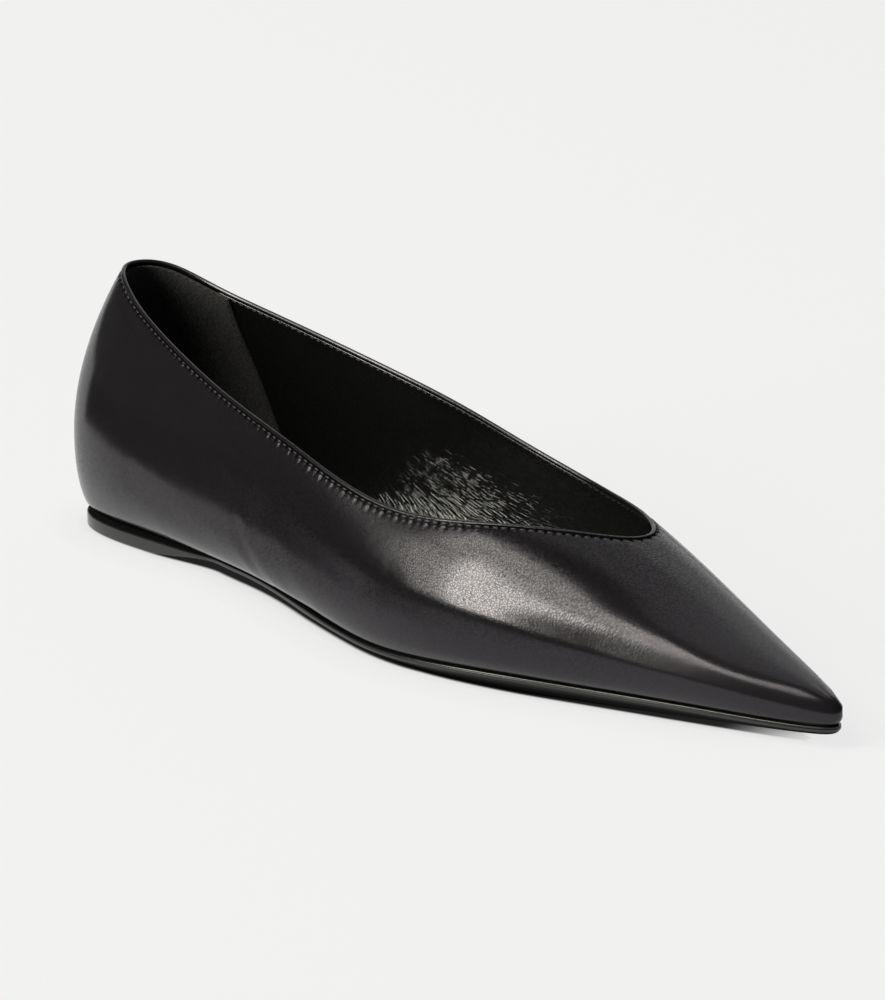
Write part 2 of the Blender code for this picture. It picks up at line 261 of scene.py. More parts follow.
class Last:
    """The outer surface of the upper, as a function of section, height share and side."""

    FLAT_ENDED = {"foot_x", "girth_x", "girth_z", "ridge_x", "ridge_z", "rise", "roof"}
    FOOT_PULL = 0.45
    FOOT_LIFT = 0.25
    HANG_RANGE = (0.15, 0.9)
    LEAST_UNDERCUT = 0.3
    LEAST_ROOF = 0.1
    CREST_FROM = 5.0
    STEP = 0.01
    NEAR_TIP = 0.05
    SPINE = (30.0, 236.0)

    def __init__(self) -> None:
        """Lay smooth curves through the tables."""
        self.end = len(SECTIONS) - 1
        steps = range(len(SECTIONS))
        self.curve: Dict[str, Callable[[Array], Array]] = {}
        for name in (column.name for column in fields(Section)):
            slope = 0.0 if name in self.FLAT_ENDED else None
            tip_slope = 0.0 if name == "ridge_y" else slope
            values = [getattr(row, name) for row in SECTIONS]
            self.curve[name] = cubic(steps, values, slope, tip_slope)
        self.bed = cubic([row.x for row in BEDS], [row.height for row in BEDS])
        self.sole = cubic([row.x for row in BEDS], [row.sole for row in BEDS])

    def folded(self, s: Array, a: Array, side: Array) -> Tuple[Array, Array, Array]:
        """Carry places past the heel, the tip or the ridge over to the other side.

        Args:
            s: Section, 0 at the heel back and the last row at the tip.
            a: Height share, -1 at the foot, 0 at the girth and 1 at the ridge.
            side: Sign of Y.

        Returns:
            The three, within their ranges.
        """
        side = np.where((s < 0.0) | (s > self.end), -side, side)
        s = np.where(s < 0.0, -s, s)
        s = np.where(s > self.end, 2.0 * self.end - s, s)
        side = np.where(a > 1.0, -side, side)
        return s, np.where(a > 1.0, 2.0 - a, a), side

    def foot(self, s: Array, side: Array) -> Array:
        """Edge against the sole.

        Args:
            s: Section, 0 at the heel back and the last row at the tip.
            side: Sign of Y.

        Returns:
            Its points in table millimetres.
        """
        s, _, side = self.folded(s, np.zeros_like(s), side)
        half = np.where(side < 0, self.curve["foot_out"](s), self.curve["foot_in"](s))
        x = self.curve["foot_x"](s)
        return np.stack([x, side * half, self.bed(x)], -1)

    def point(self, s: Array, a: Array, side: Array) -> Array:
        """Surface points.

        Args:
            s: Section, 0 at the heel back and the last row at the tip.
            a: Height share, -1 at the foot, 0 at the girth and 1 at the ridge.
            side: Sign of Y.

        Returns:
            Points in table millimetres.
        """
        s, a, side = self.folded(s, a, side)
        got = {name: curve(s) for name, curve in self.curve.items()}
        foot = self.foot(s, side)
        half = np.where(side < 0, got["girth_out"], got["girth_in"])
        girth = np.stack([got["girth_x"], side * half, got["girth_z"]], -1)
        ridge = np.stack([got["ridge_x"], got["ridge_y"], got["ridge_z"]], -1)

        climb = girth.copy()
        climb[..., 2] += got["rise"] * (ridge[..., 2] - girth[..., 2])
        inward = ridge - girth
        inward[..., 2] = 0.0
        crest = ridge - got["roof"][..., None] * inward
        crest[..., 2] += self.ridge_slope(s) * (crest[..., 0] - ridge[..., 0])
        upper = bezier(girth, climb, crest, ridge, np.clip(a, 0.0, 1.0))

        height = girth[..., 2] - foot[..., 2]
        under = np.maximum(np.linalg.norm((girth - foot)[..., :2], axis=-1), self.LEAST_UNDERCUT)
        over = np.maximum(np.linalg.norm(inward, axis=-1) * (1.0 - got["roof"]), self.LEAST_ROOF)
        hang = np.sqrt(under * (1.0 - self.FOOT_PULL) / over) * (climb - girth)[..., 2] / height
        corner = girth.copy()
        corner[..., 2] = foot[..., 2] + self.FOOT_LIFT * height
        drop = girth.copy()
        drop[..., 2] -= np.clip(hang, *self.HANG_RANGE) * height
        turn = foot + self.FOOT_PULL * (corner - foot)
        lower = bezier(foot, turn, drop, girth, np.clip(a + 1.0, 0.0, 1.0))
        return np.where((a >= 0.0)[..., None], upper, lower)

    def ridge_slope(self, s: Array) -> Array:
        """Fall of the ridge toward the tip; behind the vamp there is no ridge to follow.

        Args:
            s: Section, 0 at the heel back and the last row at the tip.

        Returns:
            Height over length, negative where it falls.
        """
        near = np.clip(s, self.CREST_FROM, self.end - self.NEAR_TIP)
        run = self.curve["ridge_x"](near + self.STEP) - self.curve["ridge_x"](near - self.STEP)
        fall = self.curve["ridge_z"](near + self.STEP) - self.curve["ridge_z"](near - self.STEP)
        return np.where(s > self.CREST_FROM, fall / run, 0.0)

    def spread(self, s: Array, side: Array) -> Array:
        """Outward direction of the foot edge, in plan.

        Args:
            s: Section, 0 at the heel back and the last row at the tip.
            side: Sign of Y.

        Returns:
            Unit vectors.
        """
        along = self.foot(s + self.STEP, side) - self.foot(s - self.STEP, side)
        out = np.stack([along[..., 1], -along[..., 0], np.zeros_like(s)], -1)
        return unit(out) * -side[..., None]

    def toward_spine(self, points: Array, s: Array, distance: float, share: float = 1.0) -> Array:
        """Move points in plan toward the middle line.

        Args:
            points: The points.
            s: Their sections.
            distance: How far they move.
            share: Share of the way that they move at most.

        Returns:
            The moved points.
        """
        middle = points.copy()
        middle[..., 0] = np.clip(points[..., 0], *self.SPINE)
        middle[..., 1] = 0.5 * (self.curve["foot_in"](s) - self.curve["foot_out"](s))
        way = middle - points
        length = np.maximum(np.linalg.norm(way, axis=-1, keepdims=True), 1e-6)
        return points + way / length * np.minimum(distance, share * length)


# Meshes


class Shell:
    """Points and quads gathered from grids, made into one mesh object."""

    JOIN = 0.0005

    def __init__(self) -> None:
        """Start with nothing."""
        self.points: List[Array] = []
        self.quads: List[Array] = []
        self.count = 0

    def grid(self, points: Array, around: bool = False, loop: bool = False) -> Array:
        """Add a grid of quads.

        Args:
            points: Array of columns, rows and coordinates.
            around: Whether the last column meets the first.
            loop: Whether the last row meets the first.

        Returns:
            The index of each point, columns by rows.
        """
        columns, rows = points.shape[:2]
        index = self.count + np.arange(columns * rows).reshape(columns, rows)
        i = np.arange(columns if around else columns - 1)
        j = np.arange(rows if loop else rows - 1)
        ii, jj = np.meshgrid(i, j, indexing="ij")
        ni, nj = (ii + 1) % columns, (jj + 1) % rows
        quads = np.stack([index[ii, jj], index[ni, jj], index[ni, nj], index[ii, nj]], -1)
        self.points.append(points.reshape(-1, 3))
        self.quads.append(quads.reshape(-1, 4))
        self.count += columns * rows
        return index

    def band(self, first: Array, second: Array) -> None:
        """Add quads between two lines of point indices."""
        self.quads.append(np.stack([first[:-1], first[1:], second[1:], second[:-1]], -1))

    def piece(
        self, name: str, offset: Array, material: bpy.types.Material, marks: Optional[Array] = None
    ) -> bpy.types.Object:
        """Make the mesh object, with points that fall together merged and the faces turned outward.

        Args:
            name: The piece's name.
            offset: Move from table to row frame, in millimetres.
            material: Its finish.
            marks: A vector for each point, kept as the mesh's attribute EDGE_MARK.

        Returns:
            The object, at the origin, riding on nothing yet.
        """
        mesh = bpy.data.meshes.new(name)
        points = (np.concatenate(self.points) + offset) * MM
        mesh.from_pydata(points.tolist(), [], np.concatenate(self.quads).tolist())
        if marks is not None:
            field = mesh.attributes.new(EDGE_MARK, "FLOAT_VECTOR", "POINT")
            field.data.foreach_set("vector", marks.astype(np.float32).ravel())
        shape = bmesh.new()
        shape.from_mesh(mesh)
        bmesh.ops.remove_doubles(shape, verts=shape.verts, dist=self.JOIN * MM)
        bmesh.ops.recalc_face_normals(shape, faces=shape.faces)
        if shape.calc_volume(signed=True) < 0.0:
            bmesh.ops.reverse_faces(shape, faces=shape.faces)
        shape.to_mesh(mesh)
        shape.free()
        mesh.shade_smooth()
        mesh.materials.append(material)
        thing = bpy.data.objects.new(name, mesh)
        bpy.context.scene.collection.objects.link(thing)
        return thing


def normals(points: Array, around: bool) -> Array:
    """Outward directions of a grid whose columns run round the shoe and whose rows run down.

    Args:
        points: Array of columns, rows and coordinates.
        around: Whether the last column meets the first.

    Returns:
        Unit vectors, one for each point.
    """
    if around:
        along = np.roll(points, -1, 0) - np.roll(points, 1, 0)
    else:
        along = np.gradient(points, axis=0)
    return unit(np.cross(along, np.gradient(points, axis=1)))


class Topline:
    """The cut edge: from the throat back along the outer side, then forward along the inner side."""

    FINE = 1600

    def __init__(self, last: Last) -> None:
        """Measure the edge.

        Args:
            last: The surface that the edge is cut on.
        """
        rows = range(len(TOPLINE))
        self.last = last
        self.end = float(len(TOPLINE) - 1)
        self.section = cubic(rows, [cut.section for cut in TOPLINE], None, 0.0)
        self.outer = cubic(rows, [cut.outer for cut in TOPLINE], 0.0, None)
        self.inner = cubic(rows, [cut.inner for cut in TOPLINE], 0.0, None)
        self.below = cubic(rows, [cut.below for cut in TOPLINE])
        self.row = np.linspace(-self.end, self.end, 2 * self.FINE + 1)
        s, a, side, _ = self.at_row(self.row)
        self.points = last.point(s, a, side)
        steps = np.linalg.norm(np.diff(self.points, axis=0), axis=1)
        self.arc = np.concatenate([[0.0], np.cumsum(steps)])
        self.length = float(self.arc[-1])

    def at_row(self, row: Array) -> Tuple[Array, Array, Array, Array]:
        """Look up the table.

        Args:
            row: Table row, negative on the outer side.

        Returns:
            Section, height share, side and foot section.
        """
        q = np.abs(row)
        side = np.where(row < 0.0, Side.LATERAL.value, Side.MEDIAL.value)
        share = np.where(row < 0.0, self.outer(q), self.inner(q))
        return self.section(q), np.minimum(share, 1.0), side, self.below(q)

    def row_at(self, arc: Array) -> Array:
        """Table row at a length along the edge, which runs on past the throat."""
        return np.interp(np.mod(arc, self.length), self.arc, self.row)

    def arc_at(self, row: float) -> float:
        """Length along the edge at a table row."""
        return float(np.interp(row, self.row, self.arc))

    def distance(self, points: Array) -> Tuple[Array, Array]:
        """Find the nearest places of the edge.

        Args:
            points: The points.

        Returns:
            How far each is from the edge, and the length along it of the nearest place.
        """
        tree = KDTree(len(self.points))
        for i, point in enumerate(self.points):
            tree.insert(point, i)
        tree.balance()
        flat = points.reshape(-1, 3)
        found = [tree.find(point) for point in flat]
        far = np.array([hit[2] for hit in found]).reshape(points.shape[:-1])
        arc = self.arc[np.array([hit[1] for hit in found])].reshape(points.shape[:-1])
        return far, arc


@dataclass
class Fan:
    """Columns over the last that start square to the topline and fan out to the foot edge.

    The column at the throat runs down the ridge and over the tip.
    """

    topline: Topline
    tip_turn: float = 0.8
    turn_from: float = 4.5
    turn_power: float = 2.0
    fine_steps: int = 240
    near: Tuple[float, ...] = (
        0.0, 0.1, 0.22, 0.36, 0.5, 0.65, 0.8, 0.95, 1.1, 1.25, 1.4, 1.55, 1.7, 1.85, 2.05, 2.3, 2.6, 2.95,
        3.4, 4.0, 4.7, 5.5, 6.5,
    )
    rest_steps: int = 27
    foot: Tuple[float, ...] = (2.4, 1.7, 1.2, 0.8, 0.45, 0.2, 0.0)

    def place(self, row: Array, down: Array) -> Tuple[Array, Array, Array]:
        """Section, height share and side on a column.

        Args:
            row: Table row of the topline where each column starts.
            down: Share of the way to the foot edge.

        Returns:
            Section, height share and side.
        """
        top = self.topline
        s, a, side, below = top.at_row(row)
        tip = top.last.end
        throat = TOPLINE[-1].section
        past = (np.abs(row) - self.turn_from) / (top.end - self.turn_from)
        lead = np.clip(past, 0.0, 1.0) ** self.turn_power
        straight_s = (1.0 - down) * s + down * below
        straight_a = (1.0 - down) * a - down
        ridge_s = throat + (tip - throat) * np.minimum(down / self.tip_turn, 1.0)
        ridge_a = 1.0 - 2.0 * np.clip((down - self.tip_turn) / (1.0 - self.tip_turn), 0.0, 1.0)
        s = straight_s + lead * (ridge_s - throat - (tip - throat) * down)
        a = straight_a + lead * (ridge_a - 1.0 + 2.0 * down)
        return s, a, np.broadcast_to(side, s.shape)

    def rows_for(self, length: Array) -> Array:
        """Spread the points of each column, close together at top and foot.

        Args:
            length: Length of each column.

        Returns:
            Lengths from the topline, columns by rows.
        """
        share = np.linspace(0.0, 1.0, self.rest_steps + 2)[1:-1]
        near = np.tile(np.array(self.near), (len(length), 1))
        foot = length[:, None] - np.array(self.foot)
        return np.concatenate([near, near[:, -1:] + (foot[:, :1] - near[:, -1:]) * share, foot], axis=1)

    def surface(self, arcs: Array, lean: float = 0.0) -> Array:
        """Points of the last's surface.

        Args:
            arcs: Lengths along the topline where the columns start.
            lean: How much further from the heel a column ends at the foot, as a share of its table row.

        Returns:
            Array of columns, rows and coordinates, from the topline down.
        """
        rows = self.topline.row_at(arcs)[:, None]
        fine = np.linspace(0.0, 1.0, self.fine_steps + 1)
        shares = np.tile(fine, (len(arcs), 1))
        path = self.topline.last.point(*self.place(rows * (1.0 + lean * fine), shares))
        steps = np.linalg.norm(np.diff(path, axis=1), axis=2)
        run = np.concatenate([np.zeros((len(arcs), 1)), np.cumsum(steps, 1)], axis=1)
        wanted = self.rows_for(run[:, -1])
        down = np.stack([np.interp(want, have, fine) for want, have in zip(wanted, run)])
        return self.topline.last.point(*self.place(rows * (1.0 + lean * down), down))


# Relief


@dataclass(frozen=True)
class Crease:
    """A soft trough with low ridges beside it, from one place of the last to another."""

    side: Side
    start: Span
    end: Span
    width: float
    depth: float

    def relief(self, last: Last, points: Array) -> Array:
        """Height that the crease adds at each point.

        Args:
            last: The last that start and end are places on, as section and height share.
            points: Points of the surface.

        Returns:
            Millimetres outward.
        """
        s, a = np.array([self.start, self.end]).T
        head, tail = last.point(s, a, np.full(2, self.side.value))
        way = tail - head
        share = np.clip((points - head) @ way / (way @ way), 0.0, 1.0)
        away = np.linalg.norm(points - head - share[..., None] * way, axis=-1) / self.width
        taper = 1.0 - 0.5 * np.abs(2.0 * share - 1.0)
        return self.depth * taper * (0.45 * hump((away - 1.75) / 0.8) - hump(away))


CREASES: Tuple[Crease, ...] = (
    Crease(Side.LATERAL, (0.95, 0.50), (1.75, 0.50), 1.7, 0.30),
    Crease(Side.LATERAL, (2.35, -0.02), (3.75, -0.50), 2.8, 0.16),
    Crease(Side.LATERAL, (2.70, -0.30), (3.60, -0.72), 2.2, 0.10),
    Crease(Side.LATERAL, (3.55, 0.00), (3.92, -0.52), 2.0, 0.16),
    Crease(Side.LATERAL, (4.02, -0.05), (4.36, -0.56), 3.0, 0.10),
    Crease(Side.MEDIAL, (1.10, 0.50), (1.60, 0.47), 1.8, 0.20),
    Crease(Side.MEDIAL, (2.45, -0.02), (3.60, -0.52), 2.8, 0.15),
    Crease(Side.MEDIAL, (3.50, 0.00), (3.80, -0.52), 2.2, 0.16),
    Crease(Side.MEDIAL, (4.10, -0.08), (4.36, -0.50), 3.0, 0.10),
)


@dataclass(frozen=True)
class Fullness:
    """Soft swell low on the side walls with a slight hollow above it, from the heel to the ball."""

    x: Tuple[float, ...] = (8.0, 34.0, 70.0, 105.0, 140.0, 172.0, 204.0, 230.0)
    middle: Tuple[float, ...] = (28.0, 28.0, 25.0, 21.0, 14.5, 12.5, 13.0, 12.0)
    reach: Tuple[float, ...] = (11.0, 11.0, 9.0, 7.5, 5.5, 4.5, 4.5, 4.0)
    swell: Tuple[float, ...] = (0.0, 0.7, 0.75, 0.7, 0.6, 0.45, 0.1, 0.0)
    foot_rise: float = 4.0

    def relief(self, last: Last, points: Array) -> Array:
        """Height that the swell adds.

        Args:
            last: The last.
            points: Points of the smooth surface.

        Returns:
            Millimetres outward at each point.
        """
        x, z = points[..., 0], points[..., 2]
        u = (z - np.interp(x, self.x, self.middle)) / np.interp(x, self.x, self.reach)
        low = smooth((z - last.bed(x)) / self.foot_rise)
        return -np.interp(x, self.x, self.swell) * low * u * np.exp(0.5 - 0.5 * u * u)


@dataclass(frozen=True)
class Shoulder:
    """Fuller outer shoulder of the vamp, where the top turns over into the side wall."""

    x: Tuple[float, ...] = (150.0, 172.0, 185.0, 200.0, 210.0, 222.0, 235.0, 247.0, 259.0)
    middle: Tuple[float, ...] = (22.0, 21.2, 20.4, 19.4, 19.2, 17.9, 16.0, 14.3, 12.7)
    height: Tuple[float, ...] = (0.0, 0.55, 1.0, 1.1, 1.1, 1.1, 1.0, 0.8, 0.3)
    below: float = 6.0
    above: float = 5.5
    ridge_room: float = 6.0
    across: float = 8.0

    def relief(self, last: Last, points: Array) -> Array:
        """Height that the shoulder adds.

        Args:
            last: The last.
            points: Points of the smooth surface.

        Returns:
            Millimetres outward at each point.
        """
        x, y, z = np.moveaxis(points, -1, 0)
        u = z - np.interp(x, self.x, self.middle)
        u = np.where(u < 0.0, u / self.below, u / self.above)
        ridge = np.interp(x, [row.ridge_x for row in SECTIONS[5:]], [row.ridge_z for row in SECTIONS[5:]])
        free = smooth((ridge - z) / self.ridge_room) * smooth(0.5 - y / self.across)
        return np.interp(x, self.x, self.height) * free * hump(u)


@dataclass
class EdgeFinish:
    """Rolled topline: a bead, the stitch line sunk below it, and puckers under the stitches."""

    bead: float = 0.06
    bead_middle: float = 0.30
    bead_width: float = 0.34
    stitch_drop: float = 1.15
    groove: float = 0.26
    groove_width: float = 0.40
    pucker: float = 0.07
    pucker_in: Span = (1.1, 1.6)
    pucker_out: Span = (1.5, 3.8)
    pitch: float = 2.3

    def count(self, length: float) -> int:
        """How many stitches go round."""
        return round(length / self.pitch)

    def turn(self, arc: Array, length: float) -> Array:
        """Angle that goes full circle from one needle hole to the next."""
        return 2.0 * math.pi * arc * self.count(length) / length

    def relief(self, far: Array, arc: Array, length: float) -> Array:
        """Height of the edge's relief.

        Args:
            far: Distance from the topline.
            arc: Length along the topline.
            length: The whole topline.

        Returns:
            Millimetres outward.
        """
        turn = self.turn(arc, length)
        reach = rise(far, self.pucker_in) * (1.0 - rise(far, self.pucker_out))
        uneven = 0.70 + 0.30 * np.sin(arc * 0.21) * np.sin(arc * 0.083 + 1.0) + 0.25 * np.sin(arc * 1.37)
        wave = np.maximum(np.cos(turn + 0.5 * np.sin(0.31 * arc)), -0.3) + 0.3 * np.cos(0.5 * turn + 0.7)
        bead = self.bead * hump((far - self.bead_middle) / self.bead_width)
        groove = self.groove * hump((far - self.stitch_drop) / self.groove_width)
        return bead - groove - self.pucker * uneven * reach * wave


# Finishes


class Value:
    """A number or vector socket in a shader tree that takes part in sums and products."""

    def __init__(self, tree: "Tree", socket: bpy.types.NodeSocket) -> None:
        """Wrap a node's output."""
        self.tree = tree
        self.socket = socket

    def __add__(self, other: "Operand") -> "Value":
        """Sum."""
        return self.tree.math("ADD", self, other)

    __radd__ = __add__

    def __sub__(self, other: "Operand") -> "Value":
        """Difference."""
        return self.tree.math("SUBTRACT", self, other)

    def __rsub__(self, other: "Operand") -> "Value":
        """Difference the other way round."""
        return self.tree.math("SUBTRACT", other, self)

    def __mul__(self, other: "Operand") -> "Value":
        """Product."""
        return self.tree.math("MULTIPLY", self, other)

    __rmul__ = __mul__

    def ramp(self, low: float, high: float) -> "Value":
        """Soft step from 0 at low to 1 at high."""
        inputs = {"Value": self, "From Min": low, "From Max": high}
        return self.tree.value("ShaderNodeMapRange", "Result", inputs, interpolation_type="SMOOTHSTEP")

    def over(self, span: Span) -> "Value":
        """Soft step over a span in millimetres."""
        return self.ramp(span[0] * MM, span[1] * MM)


Operand = Union[Value, Number]
Inputs = Dict[Union[int, str], object]


class Tree:
    """Maker of one material's nodes."""

    def __init__(self, name: str) -> None:
        """Start a material with only its output and a Principled shader.

        Args:
            name: The material's name.
        """
        self.material = bpy.data.materials.new(name)
        self.material.use_nodes = True
        self.nodes = self.material.node_tree.nodes
        self.links = self.material.node_tree.links
        self.shader = self.nodes["Principled BSDF"]

    def node(self, kind: str, inputs: Inputs, **settings: object) -> bpy.types.Node:
        """Add a node.

        Args:
            kind: The node's type.
            inputs: Values or links of its sockets, by name or number.
            settings: Its own settings, set first.

        Returns:
            The node.
        """
        made = self.nodes.new(kind)
        for name, value in settings.items():
            setattr(made, name, value)
        for name, value in inputs.items():
            self.feed(made.inputs[name], value)
        return made

    def value(self, kind: str, output: Union[int, str], inputs: Inputs, **settings: object) -> Value:
        """One output of a new node."""
        return Value(self, self.node(kind, inputs, **settings).outputs[output])

    def feed(self, socket: bpy.types.NodeSocket, value: object) -> None:
        """Link a socket, or set its own value.

        Args:
            socket: A node's input.
            value: What it gets.
        """
        if isinstance(value, Value):
            self.links.new(value.socket, socket)
        else:
            socket.default_value = value

    def math(self, operation: str, *values: Operand) -> Value:
        """One Math node on numbers and sockets."""
        return self.value("ShaderNodeMath", 0, dict(enumerate(values)), operation=operation)

    def place(self, dip: float = 0.0, stretch: Triple = (1.0, 1.0, 1.0)) -> Value:
        """Object coordinates in which a pattern is drawn out.

        Args:
            dip: Degrees by which the axes dip toward the toe.
            stretch: How far the pattern is drawn out along each of them.

        Returns:
            The coordinates.
        """
        place = self.value("ShaderNodeTexCoord", "Object", {})
        inputs = {"Vector": place, "Rotation": (0.0, math.radians(dip), 0.0), "Scale": stretch}
        return self.value("ShaderNodeMapping", "Vector", inputs, vector_type="TEXTURE")

    def split(self, vector: Value) -> Tuple[Value, ...]:
        """The three parts of a vector."""
        made = self.node("ShaderNodeSeparateXYZ", {"Vector": vector})
        return tuple(Value(self, part) for part in made.outputs)

    def mark(self, name: str) -> Tuple[Value, ...]:
        """The three parts of a mesh attribute."""
        return self.split(self.value("ShaderNodeAttribute", "Vector", {}, attribute_name=name))

    def noise(self, place: Value, size: float, detail: float = 2.0) -> Value:
        """Cloudy noise from 0 to 1 with features of a size in millimetres."""
        inputs = {"Vector": place, "Scale": 1.0 / (size * MM), "Detail": detail}
        return self.value("ShaderNodeTexNoise", 0, inputs)

    def cells(self, place: Value, size: float) -> Value:
        """Distance to the border between cells of a size in millimetres, in cell widths."""
        inputs = {"Vector": place, "Scale": 1.0 / (size * MM)}
        return self.value("ShaderNodeTexVoronoi", "Distance", inputs, feature="DISTANCE_TO_EDGE")

    def warped(self, place: Value, size: float, reach: float) -> Value:
        """Coordinates stirred by noise.

        Args:
            place: The coordinates.
            size: The noise's feature size in millimetres.
            reach: How far it moves them, in millimetres.

        Returns:
            The stirred coordinates.
        """
        stir = self.value("ShaderNodeTexNoise", "Color", {"Vector": place, "Scale": 1.0 / (size * MM)})
        centred = self.value("ShaderNodeVectorMath", 0, {0: stir, 1: (0.5, 0.5, 0.5)}, operation="SUBTRACT")
        inputs = {0: centred, 1: (2.0 * reach * MM,) * 3, 2: place}
        return self.value("ShaderNodeVectorMath", 0, inputs, operation="MULTIPLY_ADD")

    def blend(self, share: Value, low: Colour, high: Colour) -> Value:
        """Colour between two, by a share."""
        inputs = {"Factor": share, 6: (*low, 1.0), 7: (*high, 1.0)}
        return self.value("ShaderNodeMix", 2, inputs, data_type="RGBA")

    def bump(self, height: Value, depth: float) -> None:
        """Raise the surface by a height from 0 to 1, over a depth in millimetres."""
        inputs = {"Height": height, "Distance": depth * MM, "Strength": 1.0}
        self.feed(self.shader.inputs["Normal"], self.value("ShaderNodeBump", "Normal", inputs))

    def set(self, **values: object) -> None:
        """Set or link the shader's sockets, with underscores for the blanks in their names."""
        for name, value in values.items():
            self.feed(self.shader.inputs[name.replace("_", " ")], value)

    def paint_shade(self, share: Value, colour: Colour) -> None:
        """Paint shade over a share of the surface: a dull dark without shine, as where shade falls in a
        crease.

        Args:
            share: How much of it, from 0 to 1.
            colour: Colour of the painted shade.
        """
        flat = {"Base Color": (*colour, 1.0), "Roughness": 0.8, "Specular IOR Level": 0.0}
        dull = self.node("ShaderNodeBsdfPrincipled", flat)
        mixed = self.node("ShaderNodeMixShader", {0: share})
        self.links.new(self.shader.outputs[0], mixed.inputs[1])
        self.links.new(dull.outputs[0], mixed.inputs[2])
        self.links.new(mixed.outputs[0], self.nodes["Material Output"].inputs["Surface"])


@dataclass(frozen=True)
class Finish:
    """A procedural finish, which paints the nodes of one material."""

    name: str

    def make(self) -> bpy.types.Material:
        """Build the material.

        Returns:
            The material, ready for a mesh.
        """
        tree = Tree(self.name)
        self.paint(tree)
        return tree.material

    def paint(self, tree: Tree) -> None:
        """Add the finish's own nodes to a new tree."""
        raise NotImplementedError


@dataclass(frozen=True)
class GrainLeather(Finish):
    """Smooth black lambskin: fine pebbles, toe streaks, painted shade in creases and the sunk stitch line.
    """

    dark: Colour = (0.0044, 0.0038, 0.0046)
    light: Colour = (0.0080, 0.0071, 0.0082)
    # Colour of the painted shade in the grain's creases and along the stitch line.
    crease_and_seam_shade: Colour = (0.0022, 0.0020, 0.0022)
    tint: Colour = (0.985, 0.935, 1.0)
    pebble: float = 0.42
    pebble_draw: Triple = (2.1, 1.0, 1.0)
    streak: float = 0.62
    streak_draw: Triple = (1.0, 2.4, 2.4)
    dip: float = 20.0
    stir_size: float = 1.1
    stir: float = 0.16
    border: Span = (0.0, 0.26)
    heel: Span = (-85.0, -5.0)
    toe: Span = (50.0, 85.0)
    point: Span = (55.0, 100.0)
    low: Span = (10.0, 19.0)
    depth: float = 0.005
    # Share of painted shade in the grain's creases.
    crease: float = 0.70
    roughness: float = 0.12
    stitch_drop: float = 1.15

    def paint(self, tree: Tree) -> None:
        """Grain that is firm at the heel and loose at the vamp, with painted shade in its creases.

        Args:
            tree: The material's nodes.
        """
        place = tree.place()
        x, _, z = tree.split(place)
        side = self.grain(tree, self.pebble_draw, self.pebble)
        toe = self.grain(tree, self.streak_draw, self.streak)
        border = side + (toe - side) * x.over(self.toe)
        pebbles = border.ramp(*self.border)
        firm = tree.noise(place, 9.0)
        wavy = tree.noise(place, 2.4)
        fine = tree.noise(place, 0.3)
        loose = (0.55 + 0.45 * x.over(self.heel)) * (0.75 + 0.5 * firm)
        point = x.over(self.point)
        shown = loose * (0.35 + 0.65 * z.over(self.low) + 0.4 * point)
        tree.bump((pebbles + 0.10 * fine) * shown + 2.0 * wavy * loose, self.depth)
        broken = 0.6 + 0.4 * tree.noise(place, 0.5).ramp(0.36, 0.64)
        # Painted shade: a dull dark mixed into the grain's creases and along the stitch line.
        creases = self.crease * (1.0 - pebbles) * shown * broken * (1.0 - 0.75 * point)
        tree.paint_shade(self.seam(tree) + creases, self.crease_and_seam_shade)
        tree.set(
            Base_Color=tree.blend(firm * 0.5 + fine * 0.5, self.dark, self.light),
            Roughness=self.roughness + 0.03 * (0.5 - pebbles + firm) + 0.06 * point,
            Specular_Tint=(*self.tint, 1.0),
        )

    def grain(self, tree: Tree, draw: Triple, size: float) -> Value:
        """Distance from the creases between pebbles drawn out along the axes."""
        return tree.cells(tree.warped(tree.place(self.dip, draw), self.stir_size, self.stir), size)

    def seam(self, tree: Tree) -> Value:
        """Painted shade of the stitch line and of the short pleats drawn in below each needle hole.

        Args:
            tree: The material's nodes.

        Returns:
            Share of the painted shade, from 0 to 1.
        """
        far, hole, _ = tree.mark(EDGE_MARK)
        low = self.stitch_drop
        line = far.ramp(low - 0.72, low - 0.5) * (1.0 - far.ramp(low + 0.2, low + 0.45))
        pleat = far.ramp(low, low + 0.3) * (1.0 - far.ramp(low + 0.5, low + 1.5)) * hole.ramp(0.1, 0.85)
        return line * 0.82 + pleat * 0.6 * (1.0 - line)


